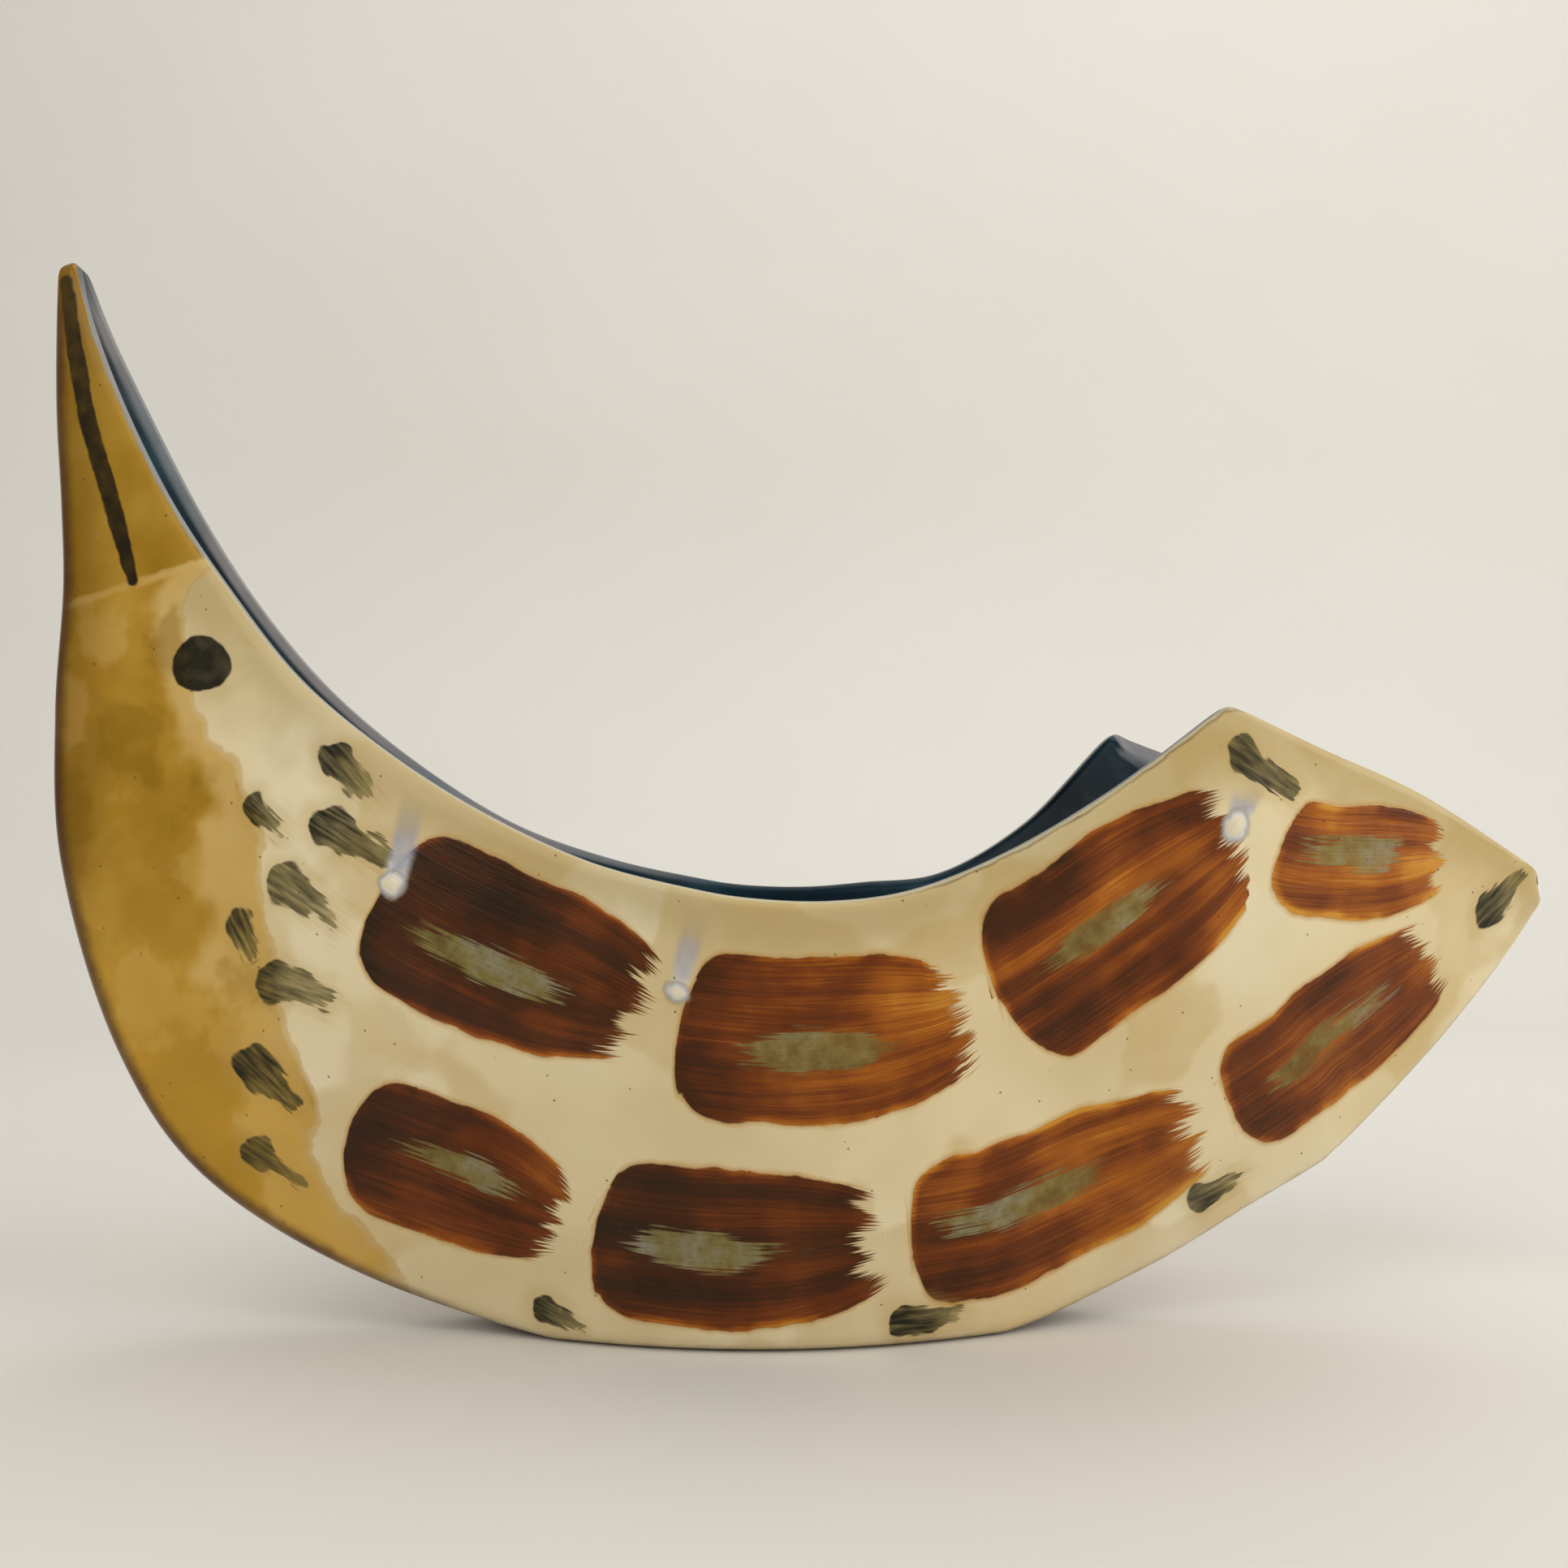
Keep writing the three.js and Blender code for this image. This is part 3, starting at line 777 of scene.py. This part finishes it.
# Dabs: place and height of the head, length, half width at the head and turn from the run of the feathers.
DABS = [
    (5.95, 0.88, 0.013, 0.0046, -6),
    (6.45, 0.74, 0.015, 0.0056, 8),
    (6.10, 0.60, 0.010, 0.0042, 30),
    (6.66, 0.57, 0.014, 0.0054, 10),
    (6.75, 0.42, 0.010, 0.0044, -20),
    (7.20, 0.42, 0.014, 0.0056, 16),
    (7.65, 0.26, 0.011, 0.0048, 0),
    (8.15, 0.13, 0.012, 0.0048, -8),
    (16.30, 0.90, 0.013, 0.0046, -40),
    (19.05, 0.30, 0.011, 0.0042, 25),
    (9.90, 0.075, 0.011, 0.0040, -6),
    (11.54, 0.070, 0.012, 0.0042, 4),
    (13.60, 0.100, 0.010, 0.0040, -25),
]
DAB_TURNS = (-25, 25)
DAB_LONGER = (0.8, 1.2)
DAB_WIDER = (0.85, 1.15)
DAB_NARROW = 0.5
DAB_APART = 0.03
PLACE_AHEAD = 0.05


def dab_marks(marks, spots, random):
    for order, (place, height, reach, half, turn) in enumerate(DABS):
        head, ahead = flow([place, place + PLACE_AHEAD], [height, height])
        turned = math.atan2(*(ahead - head)[::-1]) + math.radians(turn + random.uniform(*DAB_TURNS))
        onward = np.array([math.cos(turned), math.sin(turned)])
        sideways = np.array([-math.sin(turned), math.cos(turned)])
        tail = head + reach * random.uniform(*DAB_LONGER) * onward
        along, across, length = beside([head, tail], spots)
        share = along / length
        wide = half * random.uniform(*DAB_WIDER) * (1 - DAB_NARROW * share)
        values = {
            "dab_edge": wide - np.abs(across),
            "dab_share": share,
            "dab_along": (spots - head) @ onward,
            "dab_lane": (spots - head) @ sideways + DAB_APART * order,
        }
        upper(marks, values)


# Face: an uneven dot for the eye, and a line from the beak's tip, with its half widths, for the mouth.
EYE = (-0.1556, 0.1718)
EYE_RADIUS = 0.0077
EYE_UNEVEN = 0.04
MOUTH_LINE = [(-0.1942, 0.2725), (-0.1866, 0.2347), (-0.1807, 0.2156), (-0.1745, 0.1938)]
MOUTH_HALVES = [(0, 0.0024), (0.4, 0.0029), (0.85, 0.0026), (1, 0.0019)]
MOUTH_DRY = 0.6


def face_marks(marks, spots):
    away = spots - EYE
    angle = np.arctan2(away[:, 1], away[:, 0])
    round_eye = EYE_RADIUS * (1 + EYE_UNEVEN * (np.cos(2 * angle) + np.cos(3 * angle + 1)))
    upper(marks, {"face_edge": round_eye - np.hypot(*away.T), "face_load": np.ones(len(spots))})
    mouth = through(MOUTH_LINE, (len(MOUTH_LINE) - 1) * shares(LINE_STEPS))
    along, across, length = beside(mouth, spots)
    share = along / length
    wide = np.interp(share, *zip(*MOUTH_HALVES))
    load = MOUTH_DRY + (1 - MOUTH_DRY) * share
    upper(marks, {"face_edge": wide - np.abs(across), "face_load": load})


# Washes: where the ochre of the breast and the ochre of the beak end, and how far from the rim and the
# seams the edge tones run, the painted shade along the breast seam among them. DEEP_SHIFTS moves the deeper
# ochre's end, by height, from the wash's own, drawing it back low down; there, below LOW_TOP, a paler ochre
# is laid on as painted light, since the lower breast faces down.
BREAST_END = [
    (-0.148, 0.215),
    (-0.158, 0.176),
    (-0.140, 0.136),
    (-0.131, 0.092),
    (-0.122, 0.048),
    (-0.100, 0.0),
]
BREAST_STEPS = 40
BEAK_END = [(-0.22, 0.1805), (-0.1938, 0.1884), (-0.1564, 0.1985), (-0.12, 0.208)]
DEEP_SHIFTS = [(0.04, -0.009), (0.10, -0.005), (0.13, 0.001), (0.155, 0.008)]
LOW_TOP = 0.12
LOW_RUN = 0.06
RIM_FADE = 0.002
RIM_START = 0.025
BREAK_START = 0.03
BREAK_FADE = 0.08
CORNER_X = RIBS[CORNER][1][0] / 100 * LENGTH
CORNER_FADE = 0.012
SHADE_LOW = 0.13
SHADE_RUN = 0.06
SHADE_FADE = 0.02
SEAM_THIN = 0.0035
BREAST_LAST = -0.13
BREAST_FADE = 0.05
TAIL_THIN = 0.007
TAIL_BARE = 0.186
TAIL_FADE = 0.008
BEAK_BARE = 0.264


def rising(value, start, run):
    """0 before a start and 1 once a run is done; a negative run goes the other way."""
    return np.clip((value - start) / run, 0, 1)


def wash_marks(marks, spots, wall):
    """The washes and edge tones, from every third point of the rim and the seams."""
    x, z = spots.T
    breast_end = through(BREAST_END, (len(BREAST_END) - 1) * shares(BREAST_STEPS))
    marks["ochre_edge"] = -beside(breast_end, spots)[1]
    # Painted light low down: the deeper ochre drawn back and a paler ochre laid on, as the lower breast
    # faces down.
    marks["deep_edge"] = marks["ochre_edge"] + np.interp(z, *zip(*DEEP_SHIFTS))
    marks["painted_light_share"] = rising(z, LOW_TOP, -LOW_RUN)
    marks["beak_edge"] = beside(BEAK_END, spots)[1]
    along, across, _ = beside(wall.rim[::3], spots)
    on_beak = rising(along, RIM_START, -RIM_START)
    past_corner = rising(x, CORNER_X, CORNER_FADE)
    before_tail = rising(x, BREAK_START, -BREAK_FADE)
    marks["rim_gap"] = np.abs(across) + RIM_FADE * on_beak
    marks["break_gap"] = np.abs(across) + RIM_FADE * np.maximum(before_tail, past_corner)
    marks["line_gap"] = np.abs(across) + RIM_FADE * np.maximum(on_beak, past_corner)
    from_seam = np.abs(beside(wall.keel[::3], spots)[1])
    # Painted shade: how far from the seam the darker ochre of the breast reaches, fading out low down.
    marks["shade_gap"] = from_seam + SHADE_FADE * rising(z, SHADE_LOW, -SHADE_RUN)
    # The band of bare clay is narrower off the breast; on the breast the wider band is the seam's clay and
    # also painted shade where the breast turns under.
    from_seam += SEAM_THIN * rising(x, BREAST_LAST, BREAST_FADE)
    from_seam += TAIL_THIN * rising(x, TAIL_BARE, TAIL_FADE)
    from_seam += SEAM_THIN * rising(z, BEAK_BARE, TAIL_FADE)
    marks["seam_gap"] = from_seam


# Drips: place and height where the opal glaze starts to run, how far it runs, and the bead's radius.
DRIPS = [(6.85, 0.95, 0.022, 0.0034), (9.75, 0.95, 0.018, 0.0030), (15.9, 0.84, 0.009, 0.0040)]
DRIP_SHIFT = 0.3
DRIP_LEAN = 0.25
TRAIL_WIDE = 1.15
TRAIL_NARROW = 0.3
TRAIL_SOFT = 0.4
TRAIL_RISE = 0.00025
BEAD_RISE = 0.0011


def drip_marks(marks, spots, sign):
    for place, height, run, radius in DRIPS:
        top = flow([place + DRIP_SHIFT * sign], [height])[0]
        end = top + run * np.array([-DRIP_LEAN, -1.0])
        along, across, length = beside([top, end], spots)
        share = along / length
        trail = radius * (TRAIL_WIDE - TRAIL_NARROW * share) - np.abs(across)
        bead = radius - np.linalg.norm(spots - end, axis=1)
        trail_rise = TRAIL_RISE * np.clip(trail / (TRAIL_SOFT * radius), 0, 1)
        bead_rise = BEAD_RISE * np.clip(1 - (1 - bead / radius) ** 2, 0, 1)
        values = {
            "drip_edge": np.maximum(trail, bead),
            "drip_share": share,
            "bead_edge": bead,
            "drip_rise": np.maximum(trail_rise, bead_rise),
        }
        upper(marks, values)


def painted(mesh, wall, seed):
    """Writes on each point of a coat how it lies to every painted mark, in metres or in shares."""
    random = np.random.default_rng(seed)
    spots = side_spots(mesh)
    marks = {}
    feather_marks(marks, spots, random)
    dab_marks(marks, spots, random)
    face_marks(marks, spots)
    wash_marks(marks, spots, wall)
    drip_marks(marks, spots, wall.sign)
    del marks["drip_rise"]
    for name, value in marks.items():
        mark(mesh, name, value)


glaze = Finish("painted_cream_glaze")
cloud = glaze.grain(0.030, detail=3)
mist = glaze.grain(0.009, detail=3)
tooth = glaze.grain(0.0022)
fine = glaze.grain(0.0007)

# Cream ground with tea-coloured stains, browner near the rim
CREAM = [(0.3, srgb(214, 194, 148)), (0.5, srgb(226, 209, 167)), (0.72, srgb(235, 223, 190))]
TEA = srgb(194, 162, 94)
RIM_BROWN = srgb(162, 136, 72)
near_rim = glaze.step(glaze.ragged(glaze.read("rim_gap"), mist, 0.014), 0.022, 0.003)
tea = glaze.ragged(glaze.grain(0.024), tooth, 0.015)
tea_cover = glaze.times(glaze.step(tea, 0.51, 0.55), glaze.between(mist, 0.1, 0.65))
paint = glaze.over(glaze.ramp(cloud, CREAM), TEA, tea_cover)
paint = glaze.over(paint, RIM_BROWN, near_rim, 0.5)

# Ochre wash of the head and breast, deeper toward the seam, with patches where it dried thin or thick, and
# painted light: a paler ochre low on the breast, which faces down
THIN_OCHRE = [(0.42, srgb(206, 174, 104)), (0.72, srgb(192, 152, 70))]
DEEP_OCHRE = [(0.45, srgb(180, 138, 36)), (0.58, srgb(164, 120, 12)), (0.7, srgb(142, 104, 6))]
PALE_WASH = srgb(206, 168, 92)
DARK_WASH = srgb(128, 94, 12)
WASH_POOL = srgb(184, 138, 60)
PAINTED_LIGHT_OCHRE = srgb(214, 164, 52)
OCHRE_WANDER = 0.011
OCHRE_INWARD = (0.0, 0.010)
WASH_MOST = 0.42
ochre_edge = glaze.ragged(glaze.read("ochre_edge"), mist, OCHRE_WANDER)
ochre_load = glaze.plus(glaze.times(cloud, 0.7), glaze.times(mist, 0.45))
in_ochre = glaze.step(ochre_edge, *OCHRE_INWARD)
thin_ochre = glaze.ramp(ochre_load, THIN_OCHRE)
paint = glaze.over(paint, thin_ochre, glaze.step(ochre_edge, -0.0005, 0.003), 0.9)
deep_edge = glaze.ragged(glaze.read("deep_edge"), mist, OCHRE_WANDER)
deep_edge = glaze.plus(deep_edge, glaze.between(cloud, -0.036, 0.012))
deep_ochre = glaze.ramp(ochre_load, DEEP_OCHRE)
paint = glaze.over(paint, deep_ochre, glaze.step(deep_edge, -0.001, 0.006), 0.85)
wash = glaze.grain(0.011, detail=4)
washed = glaze.step(ochre_edge, 0.0, 0.004)
paint = glaze.over(paint, PALE_WASH, glaze.times(glaze.step(wash, 0.53, 0.61), washed), WASH_MOST)
paint = glaze.over(paint, DARK_WASH, glaze.times(glaze.step(wash, 0.47, 0.38), washed), WASH_MOST)
pooled = glaze.less(glaze.step(ochre_edge, -0.0003, 0.0006), glaze.step(ochre_edge, 0.0006, 0.0022))
paint = glaze.over(paint, WASH_POOL, pooled, 0.3)
# Painted light: a paler ochre over the lower breast, which faces down.
paint = glaze.over(paint, PAINTED_LIGHT_OCHRE, glaze.times(glaze.read("painted_light_share"), in_ochre), 0.45)

# Beak, with a pale line below its colour, and painted shade in a darker ochre along the breast seam, fading
# out low down
BEAK = [(0.4, srgb(184, 145, 58)), (0.58, srgb(160, 120, 32)), (0.75, srgb(126, 91, 14))]
BEAK_LINE = srgb(208, 174, 104)
PAINTED_SEAM_SHADE = srgb(108, 77, 16)
beak_edge = glaze.ragged(glaze.read("beak_edge"), tooth, 0.001)
on_beak = glaze.step(beak_edge, -0.0004, 0.0009)
beak_line = glaze.times(glaze.step(beak_edge, -0.0024, -0.0012), glaze.between(mist, -0.3, 1.2))
paint = glaze.over(paint, BEAK_LINE, beak_line)
paint = glaze.over(paint, glaze.ramp(ochre_load, BEAK), on_beak)
# Painted shade: a darker ochre laid in the wash along the breast seam, where the breast turns away from the
# light.
shade = glaze.times(glaze.step(glaze.read("shade_gap"), 0.020, 0.003), in_ochre)
paint = glaze.over(paint, PAINTED_SEAM_SHADE, shade, 0.5)


def lanes(lane, along, stretch):
    """Places on a brush mark, drawn out along the stroke so that noise there runs in streaks."""
    made = glaze.node("ShaderNodeCombineXYZ")
    glaze.feed(made.inputs["X"], glaze.read(lane))
    glaze.feed(made.inputs["Y"], glaze.times(glaze.read(along), stretch))
    return made.outputs[0]


# Feathers in iron brown: streaked by the bristles, dry at the end of the stroke, with a thin halo
HALO = srgb(188, 138, 58)
IRON = [
    (0.02, srgb(204, 142, 44)),
    (0.22, srgb(164, 88, 8)),
    (0.44, srgb(112, 47, 0)),
    (0.66, srgb(66, 24, 0)),
    (0.92, srgb(30, 12, 2)),
]
DRY_FROM = 0.90
DRY_RATE = 6.0
rough = glaze.plus(glaze.swing(mist, 0.0022), glaze.swing(tooth, 0.0004))
feather_edge = glaze.plus(glaze.read("feather_edge"), rough)
feather_share = glaze.read("feather_share")
stroke = lanes("feather_lane", "feather_along", 0.03)
bristle = glaze.step(glaze.grain(0.00035, detail=4, spot=stroke), 0.3, 0.7)
swath = glaze.step(glaze.grain(0.0035, detail=3, spot=stroke), 0.34, 0.66)
puddle = glaze.grain(0.013, detail=3)
worn = glaze.plus(glaze.times(bristle, 0.45), glaze.times(swath, 0.4), glaze.times(tooth, 0.15))
dryness = glaze.plus(worn, glaze.times(glaze.less(feather_share, DRY_FROM), DRY_RATE))
wet = glaze.less(1.0, glaze.step(dryness, 0.4, 0.6))
feather_cover = glaze.times(glaze.step(feather_edge, 0.0, 0.0006), wet)
halo = glaze.times(glaze.step(feather_edge, -0.0013, 0.0003), glaze.between(puddle, 0.0, 1.1))
paint = glaze.over(paint, HALO, glaze.times(halo, wet))
thin_edge = glaze.times(glaze.step(feather_edge, 0.0030, 0.0004), glaze.step(puddle, 0.62, 0.42))
iron_load = glaze.plus(
    glaze.times(bristle, 0.14),
    glaze.times(swath, 0.20),
    glaze.swing(puddle, 0.45),
    glaze.between(glaze.read("feather_tone"), 0.58, 0.14),
    glaze.between(feather_share, 0.1, -0.16),
    glaze.times(thin_edge, -0.3),
    glaze.times(near_rim, 0.22),
)
paint = glaze.over(paint, glaze.ramp(iron_load, IRON), feather_cover, 0.97)

# Khaki patches in the middle of the feathers, peppered with iron
KHAKI = [(0.3, srgb(102, 88, 40)), (0.5, srgb(140, 128, 72)), (0.7, srgb(150, 146, 124))]
PEPPER = srgb(58, 44, 24)
patch_edge = glaze.ragged(glaze.read("patch_edge"), bristle, 0.0012)
patch_edge = glaze.ragged(patch_edge, mist, 0.003)
patch_cover = glaze.times(glaze.step(patch_edge, 0.0, 0.0012), glaze.between(tooth, 0.55, 1.0))
khaki = glaze.ramp(glaze.ragged(puddle, tooth, 0.2), KHAKI)
khaki = glaze.over(khaki, PEPPER, glaze.step(fine, 0.5, 0.72), 0.25)
paint = glaze.over(paint, khaki, glaze.times(patch_cover, feather_cover))

# Olive dabs with ragged tails in a faint stain
OLIVE = [(0.1, srgb(136, 124, 68)), (0.45, srgb(84, 77, 38)), (0.8, srgb(37, 36, 21))]
STAIN = srgb(184, 152, 82)
BRUSH_EDGE = (-0.0001, 0.0006)
dab_share = glaze.read("dab_share")
dab_streak = glaze.grain(0.0006, spot=lanes("dab_lane", "dab_along", 0.12))
dab_tail = glaze.times(glaze.swing(dab_streak, 0.004), glaze.between(dab_share, 0.1, 1.0))
dab_edge = glaze.plus(glaze.read("dab_edge"), dab_tail, glaze.swing(glaze.grain(0.004, detail=1), 0.003))
dab_load = glaze.between(dab_share, 0.75, 0.3)
dab_load = glaze.plus(dab_load, glaze.swing(mist, 0.6), glaze.swing(dab_streak, 0.7))
dab_cover = glaze.times(glaze.step(dab_edge, *BRUSH_EDGE), glaze.between(dab_load, 0.62, 1.0))
stain = glaze.step(glaze.ragged(dab_edge, mist, 0.003), -0.005, 0.001)
paint = glaze.over(paint, STAIN, stain, 0.35)
paint = glaze.over(paint, glaze.ramp(dab_load, OLIVE), dab_cover)

# Eye and mouth in brown-black
FACE = [(0.0, srgb(98, 74, 26)), (0.4, srgb(58, 50, 22)), (0.75, srgb(28, 27, 18))]
face_edge = glaze.ragged(glaze.read("face_edge"), tooth, 0.0007)
face_load = glaze.plus(glaze.read("face_load"), glaze.between(glaze.grain(0.0025, detail=3), -0.5, 0.4))
face_cover = glaze.times(glaze.step(face_edge, *BRUSH_EDGE), glaze.between(face_load, 0.72, 0.98))
paint = glaze.over(paint, glaze.ramp(face_load, FACE), face_cover)

# Opal drips and the pearly beads that they end in
OPAL = [(0.1, srgb(142, 128, 96)), (0.45, srgb(132, 144, 180)), (0.95, srgb(214, 212, 206))]
PEARL = [(0.0, srgb(160, 160, 164)), (0.5, srgb(210, 208, 202)), (1.0, srgb(232, 220, 192))]
BEAD_RING = srgb(150, 112, 66)
drip_share = glaze.read("drip_share")
drip_edge = glaze.ragged(glaze.read("drip_edge"), mist, 0.002)
drip_load = glaze.ragged(drip_share, mist, 0.4)
drip_cover = glaze.times(glaze.step(drip_edge, -0.0006, 0.0020), glaze.between(drip_load, 0.05, 1.0))
paint = glaze.over(paint, glaze.ramp(glaze.ragged(drip_share, tooth, 0.25), OPAL), drip_cover)
bead = glaze.ragged(glaze.read("bead_edge"), glaze.grain(0.003), 0.002)
paint = glaze.over(paint, BEAD_RING, glaze.step(bead, -0.0007, 0.0), 0.3)
pearl = glaze.ramp(glaze.step(bead, 0.0, 0.0022), PEARL)
paint = glaze.over(paint, pearl, glaze.step(bead, -0.0004, 0.0010))

# Iron specks, and the thin lines where the glaze breaks on the rim and bare clay shows at the seams
SPECK = srgb(86, 56, 30)
BREAK_BROWN = srgb(104, 74, 40)
LINE_CREAM = srgb(188, 178, 142)
LINE_GREY = srgb(138, 144, 134)
BARE_CLAY = srgb(78, 47, 26)
speck = glaze.dots(0.0055)
paint = glaze.over(paint, SPECK, glaze.step(speck, 0.07, 0.04), 0.65)
break_gap = glaze.ragged(glaze.read("break_gap"), tooth, 0.0007)
break_cover = glaze.times(glaze.step(break_gap, 0.0013, 0.0006), glaze.between(mist, 0.1, 1.1))
paint = glaze.over(paint, BREAK_BROWN, break_cover)
line_gap = glaze.ragged(glaze.read("line_gap"), tooth, 0.0005)
line_tone = glaze.over(LINE_CREAM, LINE_GREY, on_beak)
paint = glaze.over(paint, line_tone, glaze.step(line_gap, 0.0007, 0.0003), 0.85)
# Bare clay at the seams; on the breast its wider band is also painted shade.
seam_gap = glaze.ragged(glaze.read("seam_gap"), tooth, 0.0009)
seam_cover = glaze.times(glaze.step(seam_gap, 0.0064, 0.0022), glaze.between(mist, 0.6, 1.05))
glaze.colour(glaze.over(paint, BARE_CLAY, seam_cover))
glaze.roughness(glaze.plus(glaze.between(mist, 0.1, 0.2), glaze.times(feather_cover, 0.06)))
glaze.shine(0.14)
brushed = glaze.reckon("MAXIMUM", dab_cover, face_cover)
height = glaze.plus(
    glaze.times(feather_cover, glaze.between(bristle, 0.15, 0.4)),
    glaze.times(brushed, 0.2),
    glaze.times(mist, 0.35),
    glaze.times(fine, 0.06),
    glaze.times(glaze.step(speck, 0.06, 0.03), -0.3),
)
glaze.relief(height, 0.0004)

for wall, seed in zip(WALLS, PAINT_SEEDS):
    crest_drop = wall.held(COAT)
    edge_run = wall.held(COAT_EDGE)
    start = COAT_START * wall.seam_run
    rise = wall.body_top - start
    rows = []
    for share in shares(COAT_ROWS) ** COAT_CROWD:
        drips = {}
        drip_marks(drips, wall.spots(start + rise * share, 0)[:, [0, 2]], wall.sign)
        proud = PROUD * swelling(rise * share / edge_run)
        rows.append(wall.outer(start + rise * share, proud + drips["drip_rise"]))
    rows += [wall.outer(wall.lip_at(turn), PROUD) for turn in quarter(LIP_ROWS)[1:]]
    for turn in quarter(COAT_BACK_LIP_ROWS)[:0:-1]:
        rows.append(wall.outer(wall.lip_at(turn), FIT, crest_drop * turn))
    for share in shares(BACK_ROWS)[:0:-1]:
        rows.append(wall.outer(start + rise * share, FIT * swelling(rise * share / edge_run)))
    coat = closed_body(f"{wall.name}_outer_coat", rows)
    painted(coat.data, wall, seed)
    coat.data.materials.append(glaze.material)
    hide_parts(f"{wall.name}_outer_glaze")
    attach(coat, "root")

# Studio: a pale paper floor that sweeps up behind the bowl, soft lamps, a dim grey room and the camera
# at the photograph's viewing angle.
FLOOR_HALF = 4.0
FLOOR_FRONT = -4.0
SWEEP = 0.5
SWEEP_STEPS = 13
BACK = 1.1
BACK_TOP = 1.6
PAPER = srgb(222, 219, 212)
PAPER_SHADE = srgb(214, 211, 203)
bm = bmesh.new()
profile = [(FLOOR_FRONT, 0.0), (BACK - SWEEP, 0.0)]
for t in shares(SWEEP_STEPS)[1:] * math.pi / 2:
    profile.append((BACK - SWEEP + SWEEP * math.sin(t), SWEEP - SWEEP * math.cos(t)))
profile.append((BACK, BACK_TOP))
verts = [bm.verts.new((-FLOOR_HALF, y, z)) for y, z in profile]
lines = [bm.edges.new(pair) for pair in zip(verts, verts[1:])]
made = bmesh.ops.extrude_edge_only(bm, edges=lines)["geom"]
moved = [item for item in made if isinstance(item, bmesh.types.BMVert)]
bmesh.ops.translate(bm, verts=moved, vec=(2 * FLOOR_HALF, 0, 0))
sweep = smooth_piece(bm, "floor_sweep")
paper = Finish("pale_paper")
paper.colour(paper.over(PAPER, PAPER_SHADE, paper.grain(0.15)))
paper.roughness(0.6)
sweep.data.materials.append(paper.material)


def lamp(name, spot, aim, side, power, tint):
    """A square soft lamp at a spot, turned toward an aim."""
    data = bpy.data.lights.new(name, "AREA")
    data.shape = "RECTANGLE"
    data.size = side
    data.size_y = side
    data.energy = power
    data.color = tint
    made = bpy.data.objects.new(name, data)
    made.location = spot
    x, y, z = np.array(aim) - spot
    made.rotation_euler = (math.atan2(math.hypot(x, y), -z), 0, math.atan2(-x, y))
    bpy.context.scene.collection.objects.link(made)


lamp("window", (1.6, -0.7, 0.9), aim=(0.05, 0, 0.1), side=1.4, power=22, tint=(1.0, 0.98, 0.95))
lamp("fill", (-1.0, -1.4, 1.7), aim=(0, 0, 0.1), side=2.0, power=27, tint=(1.0, 0.97, 0.93))
lamp("top", (0.3, 0.5, 1.8), aim=(0, 0, 0.1), side=1.6, power=14, tint=(1.0, 1.0, 1.0))

ROOM = srgb(226, 226, 224)
ROOM_STRENGTH = 0.3
world = bpy.data.worlds.new("room")
world.use_nodes = True
room = world.node_tree.nodes["Background"]
room.inputs["Color"].default_value = ROOM
room.inputs["Strength"].default_value = ROOM_STRENGTH
bpy.context.scene.world = world
bpy.context.scene.view_settings.view_transform = "Standard"

CAMERA_SPOT = (-0.02505, -0.41959, 0.12816)
CAMERA_TILT = 91.894
CAMERA_TURN = -2.545
CAMERA_LENS = 36.06
CAMERA_SENSOR = 36.0
camera_data = bpy.data.cameras.new("camera")
camera_data.sensor_width = CAMERA_SENSOR
camera_data.lens = CAMERA_LENS
camera = bpy.data.objects.new("camera", camera_data)
camera.location = CAMERA_SPOT
camera.rotation_euler = (math.radians(CAMERA_TILT), 0, math.radians(CAMERA_TURN))
bpy.context.scene.collection.objects.link(camera)
bpy.context.scene.camera = camera
